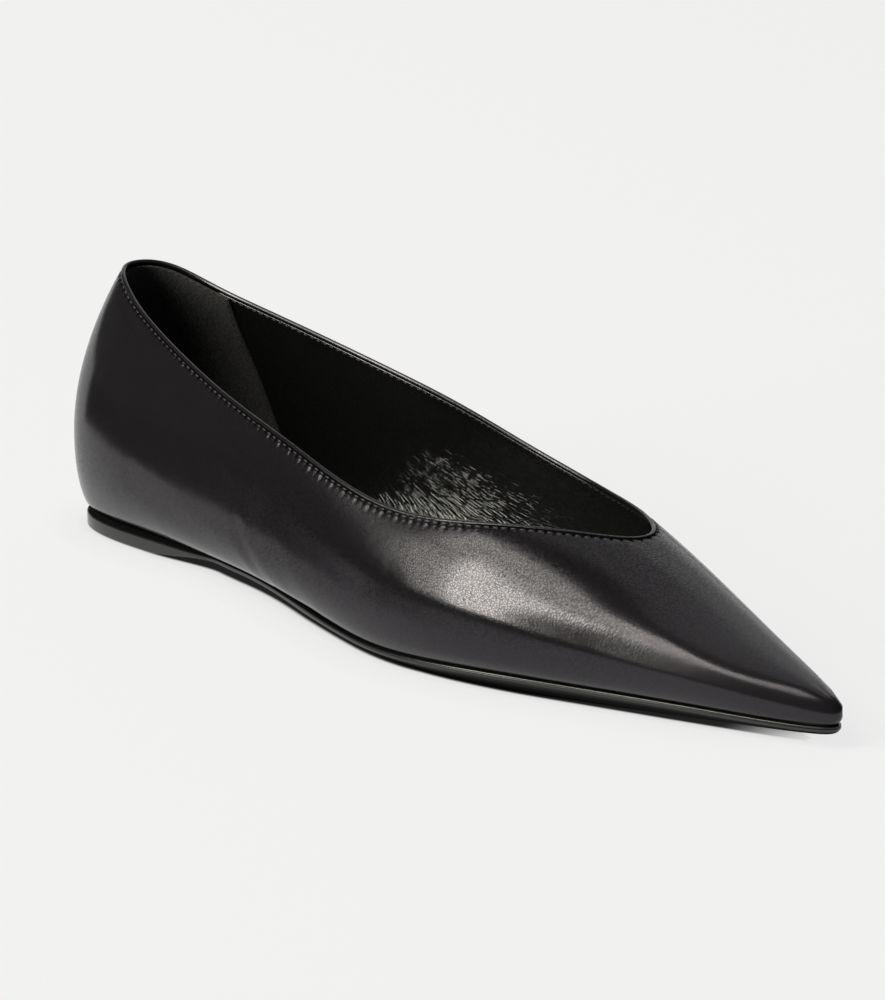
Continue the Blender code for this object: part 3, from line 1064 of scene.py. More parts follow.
@dataclass(frozen=True)
class CrinkledLining(Finish):
    """Glossy black lining leather with a drawn-out, crinkled grain where it hangs slack."""

    dark: Colour = (0.0036, 0.0036, 0.0036)
    light: Colour = (0.0075, 0.0075, 0.0075)
    crinkle: float = 0.78
    stretch: float = 5.2
    stir_size: float = 1.5
    stir: float = 0.28
    border: Span = (0.0, 0.26)
    bend: float = 13.0
    level: float = 3.0
    depth: float = 0.14
    roughness: float = 0.15
    slack: Span = (-62.0, -32.0)
    ragged: float = 6.0
    top: Span = (24.0, 41.0)
    fall: float = 0.10
    lie_back: float = 6.0
    lie_height: float = 20.0

    def paint(self, tree: Tree) -> None:
        """Crinkles that follow the wall's bend, strong where the lining lies slack.

        Args:
            tree: The material's nodes.
        """
        place = tree.place()
        x, y, z = tree.split(place)
        bent = z + self.bend * (self.level * MM * x - 0.5 * x * x)
        drawn = tree.value("ShaderNodeCombineXYZ", 0, {"X": x * (1.0 / self.stretch), "Y": y, "Z": bent})
        stirred = tree.warped(drawn, self.stir_size, self.stir)
        folds = tree.cells(stirred, self.crinkle).ramp(*self.border)
        soft = tree.noise(place, 4.0)
        fine = tree.noise(place, 0.35, 3.0)
        ceiling = z + self.fall * (x - self.slack[1] * MM)
        slack = (x + self.ragged * MM * (soft - 0.5)).over(self.slack) * (1.0 - ceiling.over(self.top))
        crinkles = (folds * (0.4 + 0.6 * soft) + 0.3 * soft + 0.10 * fine) * (0.25 + 0.75 * slack)
        back = math.tan(math.radians(self.lie_back)) / (self.depth * MM)
        tree.bump(crinkles - back * slack * (z - self.lie_height * MM), self.depth)
        tree.set(
            Base_Color=tree.blend(fine, self.dark, self.light),
            Roughness=self.roughness + 0.12 * (1.0 - folds) + 0.08 * (soft - 0.5),
            Coat_Weight=0.25,
        )


@dataclass(frozen=True)
class Suede(Finish):
    """Matte black heel grip with a short nap."""

    dark: Colour = (0.0030, 0.0029, 0.0028)
    light: Colour = (0.0420, 0.0400, 0.0385)

    def paint(self, tree: Tree) -> None:
        """Nap brushed unevenly.

        Args:
            tree: The material's nodes.
        """
        place = tree.place()
        nap = tree.noise(tree.warped(place, 1.6, 0.4), 0.7, 4.0).ramp(0.3, 0.75)
        brushed = tree.noise(place, 6.0)
        tree.bump(nap + 0.4 * brushed, 0.16)
        tree.set(
            Base_Color=tree.blend(nap * 0.6 + brushed * 0.4, self.dark, self.light),
            Roughness=0.86 + 0.10 * nap,
            Sheen_Weight=0.05,
            Sheen_Roughness=0.6,
            Specular_IOR_Level=0.25,
        )


@dataclass(frozen=True)
class InkedEdge(Finish):
    """Black sole with an inked and waxed edge, a little uneven, and painted shade in its recesses."""

    dark: Colour = (0.0090, 0.0088, 0.0086)
    light: Colour = (0.0190, 0.0182, 0.0176)
    # Colour of the painted shade on the sole's undercut, seat recess and hairline.
    recess_shade_colour: Colour = (0.0024, 0.0024, 0.0024)
    recess: float = 0.94
    layer_draw: Triple = (8.0, 8.0, 1.0)
    roughness: float = 0.16

    def paint(self, tree: Tree) -> None:
        """Thin layers along the edge under the wax, and painted shade in the recess.

        Args:
            tree: The material's nodes.
        """
        recess, _, _ = tree.mark(EDGE_MARK)
        layers = tree.noise(tree.place(0.0, self.layer_draw), 0.5, 3.0)
        cloudy = tree.noise(tree.place(), 4.0)
        tree.bump(0.6 * layers + 0.4 * cloudy, 0.012)
        # Painted shade: a dull dark over the marked undercut, seat recess and hairline.
        tree.paint_shade(recess * self.recess, self.recess_shade_colour)
        tree.set(
            Base_Color=tree.blend(layers * 0.5 + cloudy * 0.5, self.dark, self.light),
            Roughness=self.roughness + 0.14 * (cloudy - 0.5) + 0.10 * (layers - 0.5),
        )


@dataclass(frozen=True)
class Thread(Finish):
    """Black sewing thread with a dull shine."""

    dark: Colour = (0.007, 0.007, 0.007)
    light: Colour = (0.018, 0.017, 0.017)

    def paint(self, tree: Tree) -> None:
        """Fibres much finer than the thread.

        Args:
            tree: The material's nodes.
        """
        fibre = tree.noise(tree.place(), 0.12, 2.0)
        tree.bump(fibre, 0.03)
        tree.set(Base_Color=tree.blend(fibre, self.dark, self.light), Roughness=0.36 + 0.16 * fibre)


@dataclass(frozen=True)
class HoleShade(Finish):
    """Painted shade of a needle hole, on the flat dark disc sunk in it."""

    dark: Colour = (0.0008, 0.0008, 0.0008)
    light: Colour = (0.0020, 0.0020, 0.0020)

    def paint(self, tree: Tree) -> None:
        """Almost black painted shade, with a trace of dust.

        Args:
            tree: The material's nodes.
        """
        dust = tree.noise(tree.place(), 0.2)
        tree.set(
            Base_Color=tree.blend(dust, self.dark, self.light),
            Roughness=0.9 + 0.1 * dust,
            Specular_IOR_Level=0.1,
        )


# Stitches


class StitchRow:
    """Geometry Nodes that set a thread stitch or a needle hole on each point of a row."""

    def __init__(self, thread: bpy.types.Material, hole: bpy.types.Material) -> None:
        """Build the node tree.

        Args:
            thread: Finish of the stitches.
            hole: Finish of the needle holes.
        """
        self.tree = bpy.data.node_groups.new("stitch_row", "GeometryNodeTree")
        self.thread = thread
        self.hole = hole
        face = self.tree.interface
        face.new_socket("Geometry", in_out="OUTPUT", socket_type="NodeSocketGeometry")
        face.new_socket("Geometry", in_out="INPUT", socket_type="NodeSocketGeometry")
        for name in ("Stitch Size", "Hole Size"):
            face.new_socket(name, in_out="INPUT", socket_type="NodeSocketVector")
        for name in ("Thread", "Hole"):
            face.new_socket(name, in_out="INPUT", socket_type="NodeSocketMaterial")
        given = self.node("NodeGroupInput")
        turn = self.node("FunctionNodeAxesToRotation", primary_axis="Z", secondary_axis="X")
        self.link(self.attribute("up", "FLOAT_VECTOR"), turn.inputs["Primary Axis"])
        self.link(self.attribute("along", "FLOAT_VECTOR"), turn.inputs["Secondary Axis"])
        is_hole = self.attribute("hole", "BOOLEAN")
        is_stitch = self.node("FunctionNodeBooleanMath", operation="NOT")
        self.link(is_hole, is_stitch.inputs[0])
        joined = self.node("GeometryNodeJoinGeometry")
        kinds = (
            (is_stitch.outputs[0], "Stitch Size", "Thread", 12, 6),
            # Each hole is a flat dark disc that carries the painted shade of the needle hole.
            (is_hole, "Hole Size", "Hole", 10, 4),
        )
        for chosen, size, finish, segments, rings in kinds:
            ball = self.node("GeometryNodeMeshUVSphere")
            ball.inputs["Segments"].default_value = segments
            ball.inputs["Rings"].default_value = rings
            ball.inputs["Radius"].default_value = 0.5
            shaped = self.node("GeometryNodeTransform")
            self.link(ball.outputs["Mesh"], shaped.inputs["Geometry"])
            self.link(given.outputs[size], shaped.inputs["Scale"])
            placed = self.node("GeometryNodeInstanceOnPoints")
            self.link(given.outputs["Geometry"], placed.inputs["Points"])
            self.link(chosen, placed.inputs["Selection"])
            self.link(shaped.outputs["Geometry"], placed.inputs["Instance"])
            self.link(turn.outputs["Rotation"], placed.inputs["Rotation"])
            real = self.node("GeometryNodeRealizeInstances")
            self.link(placed.outputs["Instances"], real.inputs["Geometry"])
            dressed = self.node("GeometryNodeSetMaterial")
            self.link(real.outputs["Geometry"], dressed.inputs["Geometry"])
            self.link(given.outputs[finish], dressed.inputs["Material"])
            self.link(dressed.outputs["Geometry"], joined.inputs["Geometry"])
        smoothed = self.node("GeometryNodeSetShadeSmooth")
        self.link(joined.outputs["Geometry"], smoothed.inputs["Geometry"])
        self.link(smoothed.outputs["Geometry"], self.node("NodeGroupOutput").inputs["Geometry"])

    def node(self, kind: str, **settings: object) -> bpy.types.Node:
        """Add a node.

        Args:
            kind: The node's type.
            settings: Its own settings.

        Returns:
            The node.
        """
        made = self.tree.nodes.new(kind)
        for name, value in settings.items():
            setattr(made, name, value)
        return made

    def link(self, source: bpy.types.NodeSocket, target: bpy.types.NodeSocket) -> None:
        """Join two sockets."""
        self.tree.links.new(source, target)

    def attribute(self, name: str, kind: str) -> bpy.types.NodeSocket:
        """Read a named attribute of the row's points.

        Args:
            name: The attribute's name.
            kind: Its data type.

        Returns:
            The output that gives it.
        """
        made = self.node("GeometryNodeInputNamedAttribute", data_type=kind)
        made.inputs["Name"].default_value = name
        return made.outputs["Attribute"]

    def sew(
        self, name: str, points: Array, along: Array, up: Array, holes: Array, stitch: Triple, hole: Triple
    ) -> bpy.types.Object:
        """Sew one row and turn it into a plain mesh.

        Args:
            name: The piece's name.
            points: Middle of each stitch and hole, in metres.
            along: Direction of the row there.
            up: Direction out of the leather there.
            holes: Which of them are holes.
            stitch: Length, width and height of a stitch in millimetres.
            hole: The same for a hole.

        Returns:
            The mesh object.
        """
        mesh = bpy.data.meshes.new(name)
        mesh.from_pydata(points.tolist(), [], [])
        for key, values in (("along", along), ("up", up)):
            field = mesh.attributes.new(key, "FLOAT_VECTOR", "POINT")
            field.data.foreach_set("vector", values.astype(np.float32).ravel())
        mesh.attributes.new("hole", "BOOLEAN", "POINT").data.foreach_set("value", holes)
        row = bpy.data.objects.new(name, mesh)
        bpy.context.scene.collection.objects.link(row)
        sewn = row.modifiers.new("stitches", "NODES")
        sewn.node_group = self.tree
        values = {
            "Stitch Size": [size * MM for size in stitch],
            "Hole Size": [size * MM for size in hole],
            "Thread": self.thread,
            "Hole": self.hole,
        }
        for socket in self.tree.interface.items_tree:
            if socket.in_out == "INPUT" and socket.name in values:
                sewn[socket.identifier] = values[socket.name]
        seen = row.evaluated_get(bpy.context.evaluated_depsgraph_get())
        plain = bpy.data.meshes.new_from_object(seen)
        row.modifiers.remove(sewn)
        row.data = plain
        bpy.data.meshes.remove(mesh)
        plain.name = name
        return row


# Pieces


@dataclass
class Piece:
    """What every part of the shoe needs: the last, its topline and fan, and the move to the frame."""

    last: Last
    topline: Topline
    fan: Fan
    offset: Array

    EDGE_STEP = 0.4

    def hand_over(self, thing: bpy.types.Object, slot: Slot, *nodes: str) -> bpy.types.Object:
        """Give a finished mesh to the frame.

        Args:
            thing: The mesh object.
            slot: The record's slot for the piece; not used.
            nodes: Solids that it stands for.

        Returns:
            The same object.
        """
        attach(thing, BODY)
        if nodes:
            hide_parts(*nodes)
        log.info("%s: %d faces", thing.name, len(thing.data.polygons))
        return thing

    def edge_frame(self, arcs: Array) -> Tuple[Array, Array, Array, Array]:
        """Directions at the topline.

        Args:
            arcs: Lengths along it.

        Returns:
            Its points, and the directions along it, out of the leather and down from it.
        """
        base = self.fan.surface(arcs)
        n = normals(base, False)[:, 0]
        ahead = self.fan.surface(arcs + self.EDGE_STEP)[:, 0]
        behind = self.fan.surface(arcs - self.EDGE_STEP)[:, 0]
        along = unit(ahead - behind)
        n = unit(n - along * np.sum(n * along, axis=1, keepdims=True))
        return base[:, 0], along, n, np.cross(n, along)


@dataclass
class OuterLeather(Piece):
    """The upper's outer leather, folded in at the topline and under the foot."""

    columns: int = 900
    thickness: float = 0.8
    margin: float = 9.0
    margin_share: float = 0.6
    edge_rows: int = 27
    hidden_rows: int = 12
    hidden_from: int = 12
    fold: Tuple[Span, ...] = ((1.2, 0.92), (0.8, 0.95), (0.5, 0.98), (0.25, 1.03))
    rim_middle: float = 0.54
    rim_half: float = 0.54
    rim_height: float = 0.42
    rim_steps: int = 9
    tuck: Span = (0.7, 0.25)
    tuck_x: Span = (70.0, 150.0)
    tuck_rise: float = 1.5

    FAR_MARK = 99.0
    RIM_MARK = -1.0

    def relief(self, base: Array, edge: EdgeFinish) -> Array:
        """Height of the edge's relief, the fullness and the creases over the smooth surface.

        Args:
            base: The smooth surface.
            edge: How the topline is finished.

        Returns:
            Millimetres outward.
        """
        height = np.zeros(base.shape[:2])
        far, arc = self.topline.distance(base[:, :self.edge_rows])
        height[:, :self.edge_rows] = edge.relief(far, arc, self.topline.length)
        for form in (Fullness(), Shoulder(), *CREASES):
            height += form.relief(self.last, base)
        x, z = base[..., 0], base[..., 2]
        tuck = np.interp(x, self.tuck_x, self.tuck)
        return height - tuck * (1.0 - smooth((z - self.last.bed(x)) / self.tuck_rise))

    def marks(self, base: Array, rows: int, edge: EdgeFinish) -> Array:
        """Distance below the topline and the place in the stitch row, for each point of the whole loop.

        Args:
            base: The smooth surface.
            rows: Points in each column's loop.
            edge: How the topline is finished.

        Returns:
            One vector for each point: the distance, then cosine and sine of the stitch row's angle.
        """
        found = np.zeros((base.shape[0], rows, 3))
        found[..., 0] = self.FAR_MARK
        found[:, -self.rim_steps:, 0] = self.RIM_MARK
        far, arc = self.topline.distance(base[:, :self.edge_rows])
        turn = edge.turn(arc, self.topline.length)
        found[:, :self.edge_rows] = np.stack([far, np.cos(turn), np.sin(turn)], -1)
        return found.reshape(-1, 3)

    def build(self, edge: EdgeFinish, material: bpy.types.Material) -> bpy.types.Object:
        """Make the leather.

        Args:
            edge: How the topline is finished.
            material: Its finish.

        Returns:
            The piece.
        """
        arcs = np.linspace(0.0, self.topline.length, self.columns, endpoint=False)
        base = self.fan.surface(arcs)
        n = normals(base, True)
        outer = base + n * self.relief(base, edge)[..., None]
        foot = base[:, -1]
        s = np.abs(self.topline.below(np.abs(self.topline.row_at(arcs))))
        margin = self.last.toward_spine(foot, s, self.margin, self.margin_share)
        margin[:, 2] = self.last.bed(margin[:, 0])
        lifted = margin + np.array([0.0, 0.0, self.thickness])
        picks = np.linspace(base.shape[1] - 1, self.hidden_from, self.hidden_rows).round().astype(int)
        hidden = (base - self.thickness * n)[:, picks]
        floor = self.last.bed(hidden[..., 0]) + self.thickness
        hidden[..., 2] = np.maximum(hidden[..., 2], floor)
        top = base[:, 0]
        along = unit(np.roll(top, -1, 0) - np.roll(top, 1, 0))
        out = n[:, 0]
        down = np.cross(out, along)
        fold = [top + drop * down - depth * out for drop, depth in self.fold]
        middle = top - self.rim_middle * out
        rim = [
            middle + self.rim_half * math.cos(t) * out - self.rim_height * math.sin(t) * down
            for t in np.linspace(math.pi, 0.0, self.rim_steps)[:-1]
        ]
        turned_in = np.stack([margin, lifted], 1)
        loop = np.concatenate([outer, turned_in, hidden, np.stack(fold + rim, 1)], 1)
        shell = Shell()
        shell.grid(loop, around=True, loop=True)
        thing = shell.piece("upper_leather", self.offset, material, self.marks(base, loop.shape[1], edge))
        return self.hand_over(thing, Slot.UPPER, "upper")


@dataclass
class InnerPanel(Piece):
    """A sheet on the inner wall, from just below the topline to under the insole."""

    name: str
    start_row: float
    end_row: float
    overlap: float
    front: float
    back: float
    lean: float = 0.0
    first_row: int = 6
    edge_rows: int = 20
    step: float = 0.95
    lip: float = 0.16
    lip_reach: float = 0.35
    groove: float = 0.12
    groove_width: float = 0.32
    stitch_drop: float = 1.5
    floor: float = 1.6

    def arcs(self) -> Array:
        """Spread the columns; a panel may run on over the throat.

        Returns:
            Lengths along the topline where the columns start.
        """
        start = self.topline.arc_at(self.start_row) - self.overlap
        end = self.topline.arc_at(self.end_row) + self.overlap
        if end < start:
            end += self.topline.length
        return np.linspace(start, end, int((end - start) / self.step) + 1)

    def build(self, material: bpy.types.Material) -> bpy.types.Object:
        """Make the sheet with its edges closed.

        Args:
            material: Its finish.

        Returns:
            The piece.
        """
        base = self.fan.surface(self.arcs(), self.lean)
        n = normals(base, False)
        base = base[:, self.first_row:]
        n = n[:, self.first_row:]
        far, _ = self.topline.distance(base[:, :self.edge_rows])
        depth = np.full(base.shape[:2], self.front)
        lip = self.lip * (1.0 - smooth((far - far[:, :1]) / self.lip_reach))
        line = self.groove * hump((far - self.stitch_drop) / self.groove_width)
        depth[:, :self.edge_rows] = self.front - lip - line
        sheets = []
        for inward in (depth, np.full(depth.shape, self.back)):
            sheet = base - inward[..., None] * n
            sheet[..., 2] = np.maximum(sheet[..., 2], self.last.bed(sheet[..., 0]) + self.floor)
            sheets.append(sheet)
        front, rear = sheets
        shell = Shell()
        index = shell.grid(np.concatenate([front, rear[:, ::-1]], 1), loop=True)
        rows = front.shape[1]
        for column in (0, -1):
            shell.band(index[column, :rows], index[column, rows:][::-1])
        return self.hand_over(shell.piece(self.name, self.offset, material), Slot.UPPER)


@dataclass
class Plate(Piece):
    """A flat piece of the bottom, made of closed loops across the shoe from the toe to the heel."""

    name: str

    @staticmethod
    def arc_round(start: float, end: float, steps: int) -> List[Span]:
        """Cosine and sine of a turn between two angles in degrees."""
        angles = np.radians(np.linspace(start, end, steps))
        return [(math.cos(angle), math.sin(angle)) for angle in angles]

    @staticmethod
    def across(first: Array, second: Array, steps: int) -> List[Array]:
        """Lines of points on the way from one edge to the other, without the edges."""
        return [first + (second - first) * k / steps for k in range(1, steps)]

    def stations(self, count: int, end: float) -> Array:
        """Foot sections from the heel to an end, close together at the round ends.

        Args:
            count: How many.
            end: The last of them.

        Returns:
            The sections.
        """
        s = np.linspace(0.0, 1.0, 8 * count) * end
        foot = self.last.foot(s, np.full(s.shape, Side.LATERAL.value))
        run = np.concatenate([[0.0], np.cumsum(np.linalg.norm(np.diff(foot, axis=0), axis=1))])
        return np.interp(np.linspace(0.0, run[-1], count), run, s)

    def close(
        self, loops: List[Array], material: bpy.types.Material, capped: bool, marks: Optional[Array] = None
    ) -> bpy.types.Object:
        """Join lines of points into one closed body.

        Args:
            loops: Lines along the shoe, in order round the section.
            material: Its finish.
            capped: Whether the last section is left open by the lines and is to be closed.
            marks: How much painted shade each point gets in a dark recess, one row for each line.

        Returns:
            The mesh object.
        """
        shell = Shell()
        points = np.stack(loops, 1)
        index = shell.grid(points, loop=True)
        if capped:
            half = points.shape[1] // 2
            shell.band(index[-1, :half], index[-1, half:2 * half][::-1])
        if marks is not None:
            marks = np.repeat(marks.T.reshape(-1, 1), 3, axis=1)
        return shell.piece(self.name, self.offset, material, marks)


@dataclass
class Insole(Plate):
    """Sock-covered insole, a little dished, with a soft edge against the lining."""

    height: float = 3.9
    thickness: float = 2.0
    clear: float = 0.35
    wall: float = 1.6
    round: float = 0.6
    round_steps: int = 4
    dish: float = 0.5
    dish_width: float = 40.0
    count: int = 230
    steps: int = 22
    under_steps: int = 8

    def edge(self, side: Side, height: float) -> Array:
        """Line where the lining is met, from the toe to the heel.

        Args:
            side: Which side.
            height: Height of the line over the bed.

        Returns:
            Its points.
        """
        q = np.linspace(self.topline.end, 0.0, self.count)
        arcs = np.array([self.topline.arc_at(side.value * row) for row in q])
        base = self.fan.surface(arcs)
        inner = base + side.value * self.wall * normals(base, False)
        line = []
        for column in inner[:, ::-1]:
            over = np.maximum.accumulate(column[:, 2] - self.last.bed(column[:, 0]))
            line.append([np.interp(height, over, column[:, k]) for k in range(3)])
        points = self.last.toward_spine(np.array(line), self.topline.below(q), self.clear)
        points[:, 2] = self.last.bed(points[:, 0]) + height
        return points

    def rounded(self, edge: Array, half_way: Array) -> List[Array]:
        """Lines of one side's rounded upper edge.

        Args:
            edge: The sharp edge.
            half_way: The middle line of the top.

        Returns:
            Lines from the side face to the top.
        """
        way = half_way - edge
        length = np.maximum(np.linalg.norm(way, axis=1, keepdims=True), 1e-6)
        lines = []
        for c, s in self.arc_round(0.0, 90.0, self.round_steps):
            moved = edge + way / length * np.minimum(self.round * (1.0 - c), 0.9 * length)
            moved[:, 2] -= self.round * (1.0 - s)
            lines.append(moved)
        return lines

    def build(self, material: bpy.types.Material) -> bpy.types.Object:
        """Make the insole.

        Args:
            material: Its finish.

        Returns:
            The piece.
        """
        low_out, low_in = (self.edge(side, self.height - self.thickness) for side in Side)
        high_out, high_in = (self.edge(side, self.height) for side in Side)
        half_way = 0.5 * (high_out + high_in)
        lateral = self.rounded(high_out, half_way)
        medial = self.rounded(high_in, half_way)
        loops = [low_out, *lateral]
        width = np.linalg.norm(medial[-1] - lateral[-1], axis=1)
        for k, line in enumerate(self.across(lateral[-1], medial[-1], self.steps), 1):
            share = k / self.steps
            line[:, 2] -= self.dish * 4.0 * share * (1.0 - share) * np.minimum(width / self.dish_width, 1.0)
            loops.append(line)
        loops += [*medial[::-1], low_in, *self.across(low_in, low_out, self.under_steps)]
        return self.hand_over(self.close(loops, material, False), Slot.INSOLE, "insole")


@dataclass
class Outsole(Plate):
    """Thin sole, flat under the ball, lifted at the toe and the waist, cut back under the heel seat."""

    clear: float = 0.12
    solid_clear: float = 0.3
    overhang: float = 0.5
    bead: float = 0.21
    bead_steps: int = 8
    seat_bevel: float = 1.5
    seat: Span = (55.0, 140.0)
    heel: Span = (55.0, 73.0)
    face: float = 0.62
    hairline: float = 0.22
    flare: float = 0.8
    flare_in: Span = (64.0, 78.0)
    flare_out: Span = (105.0, 135.0)
    undercut: float = 0.85
    most_undercut: float = 1.7
    under_shares: Tuple[float, ...] = (0.5, 0.12, 0.02, 0.0)
    # Shares of painted shade: undercut ahead of the heel, the seat's bevel and top behind, and the
    # hairline.
    under_dark: Tuple[float, ...] = (1.0, 1.0, 1.0, 0.65, 0.15)
    seat_shade: Tuple[float, ...] = (0.0, 0.0, 0.0, 0.0, 0.7, 1.0, 1.0, 1.0, 1.0, 1.0, 1.0)
    recess_to: Span = (120.0, 172.0)
    hairline_row: int = 2
    hairline_shade: float = 0.85
    hairline_from: Span = (140.0, 160.0)
    top_steps: int = 6
    tread_steps: int = 10
    count: int = 300

    def heights(self, x: Array) -> Tuple[Array, Array]:
        """Top and tread height."""
        top = self.last.bed(x) - self.clear
        return top, np.maximum(self.last.bed(x) - self.solid_clear - self.last.sole(x), 0.0)

    def ring(self, side: Side) -> Tuple[Array, Array]:
        """Edge of one side, heel to toe.

        Args:
            side: Which side.

        Returns:
            Its points and the outward direction there.
        """
        s = self.stations(self.count, float(self.last.end))
        sides = np.full(s.shape, side.value)
        out = self.last.spread(s, sides)
        foot = self.last.foot(s, sides)
        x = foot[:, :1]
        flare = self.flare * rise(x, self.flare_in) * (1.0 - rise(x, self.flare_out))
        return foot + (self.overhang + flare) * out, out

    def profile(self, side: Side) -> List[Array]:
        """Lines of one side from the tread up to the top.

        Args:
            side: Which side.

        Returns:
            The tread's rim, the undercut, the upright face and the bead or the seat's bevel.
        """
        edge, out = self.ring(side)
        x = edge[:, 0]
        top, tread = self.heights(x)
        seat = 1.0 - rise(x, self.seat)
        heel = 1.0 - rise(x, self.heel)
        r = self.bead + (self.seat_bevel - self.bead) * seat
        r = np.minimum(r, (0.5 + 0.44 * heel) * (top - tread))
        upper = top - r * (1.0 + 0.87 * (1.0 - seat)) - 0.05
        lower = np.maximum(upper - self.face, tread + 0.02)
        inset = np.minimum(self.undercut * (lower - tread), self.most_undercut)
        lines = [self.at(edge, out, -inset - 0.12, tread), self.at(edge, out, -inset, tread + 0.01)]
        for share in self.under_shares:
            lines.append(self.at(edge, out, -share * inset, lower - share * (lower - tread)))
        for height in (np.maximum(upper - self.hairline, 0.5 * (lower + upper)), upper - 0.02):
            lines.append(self.at(edge, out, 0.0, height))
        for share in np.linspace(1.0, 0.0, self.bead_steps):
            angle = math.radians(90.0) - share * np.radians(90.0 + 60.0 * (1.0 - seat))
            rounded = np.stack([r * (np.cos(angle) - 1.0), r * (np.sin(angle) - 1.0)])
            slanted = np.stack([0.67 * r * (share - 1.0), -r * share])
            back, drop = rounded + (slanted - rounded) * seat
            lines.append(self.at(edge, out, back, top + drop))
        return lines

    @staticmethod
    def at(edge: Array, out: Array, move: Union[float, Array], height: Array) -> Array:
        """The edge moved.

        Args:
            edge: Its points.
            out: Outward direction there.
            move: How far it moves outward.
            height: Its new heights.

        Returns:
            The moved points.
        """
        move = np.broadcast_to(np.asarray(move, float), edge.shape[:1])
        moved = edge + out * move[:, None]
        moved[:, 2] = height
        return moved

    def recess(self, side: Side) -> Array:
        """Painted shade on each line of the profile: the undercut ahead of the heel, the seat's recess
        behind.

        Args:
            side: Which side.

        Returns:
            Shares of painted shade, one row for each line.
        """
        x = self.ring(side)[0][:, 0]
        ahead = rise(x, self.heel)
        behind = 1.0 - rise(x, self.recess_to)
        under = [share * ahead for share in self.under_dark]
        over = [share * behind for share in self.seat_shade]
        over[self.hairline_row] = self.hairline_shade * rise(x, self.hairline_from)
        return np.stack(under + over)

    def build(self, material: bpy.types.Material) -> bpy.types.Object:
        """Make the sole.

        Args:
            material: Its finish.

        Returns:
            The piece.
        """
        lateral, medial = (self.profile(side) for side in Side)
        loops = lateral + self.across(lateral[-1], medial[-1], self.top_steps) + medial[::-1]
        loops += self.across(medial[0], lateral[0], self.tread_steps)
        first, second = (self.recess(side) for side in Side)
        # The top under the upper gets full painted shade, the tread none.
        top = np.ones((self.top_steps - 1, self.count))
        tread = np.zeros((self.tread_steps - 1, self.count))
        marks = np.concatenate([first, top, second[::-1], tread])
        return self.hand_over(self.close(loops, material, False, marks), Slot.SOLE, "outsole")


@dataclass
class HeelLift(Plate):
    """Low heel under the sole, flat at the back and thinned to a feather edge at its breast."""

    sole: Outsole
    bevel: float = 0.3
    bevel_steps: int = 4
    top_edge: Tuple[Span, ...] = ((0.0, 0.12), (0.03, 0.03), (0.12, 0.0))
    play: float = 0.05
    flat_to: float = 40.0
    breast: float = 70.0
    proud: float = 0.03
    count: int = 120

    def profile(self, side: Side) -> List[Array]:
        """Lines of one side from the tread up to the sole.

        Args:
            side: Which side.

        Returns:
            The lines, heel to breast.
        """
        behind, ahead = SECTIONS[3], SECTIONS[4]
        end = 3.0 + (self.breast - behind.foot_x) / (ahead.foot_x - behind.foot_x)
        s = self.stations(self.count, end)
        sides = np.full(s.shape, side.value)
        out = self.last.spread(s, sides)
        edge = self.last.foot(s, sides) + (self.sole.overhang + self.proud) * out
        x = edge[:, 0]
        sole_top, sole_tread = self.sole.heights(x)
        top = sole_top - self.sole.seat_bevel + self.play
        tread = (sole_tread - self.play) * rise(x, (self.flat_to, self.breast))
        bevel = np.minimum(self.bevel, 0.3 * (top - tread))
        moves = [
            (-bevel * (1.0 - c), tread + bevel * (1.0 + t))
            for c, t in self.arc_round(-90.0, 0.0, self.bevel_steps)
        ]
        moves.append((0.0, 0.5 * (tread + bevel + top)))
        moves += [(-back, top - drop) for back, drop in self.top_edge]
        return [self.sole.at(edge, out, move, height) for move, height in moves]

    def build(self, material: bpy.types.Material) -> bpy.types.Object:
        """Make the lift."""
        loops = self.profile(Side.LATERAL) + self.profile(Side.MEDIAL)[::-1]
        return self.hand_over(self.close(loops, material, True), Slot.LIFT, "heel_lift")


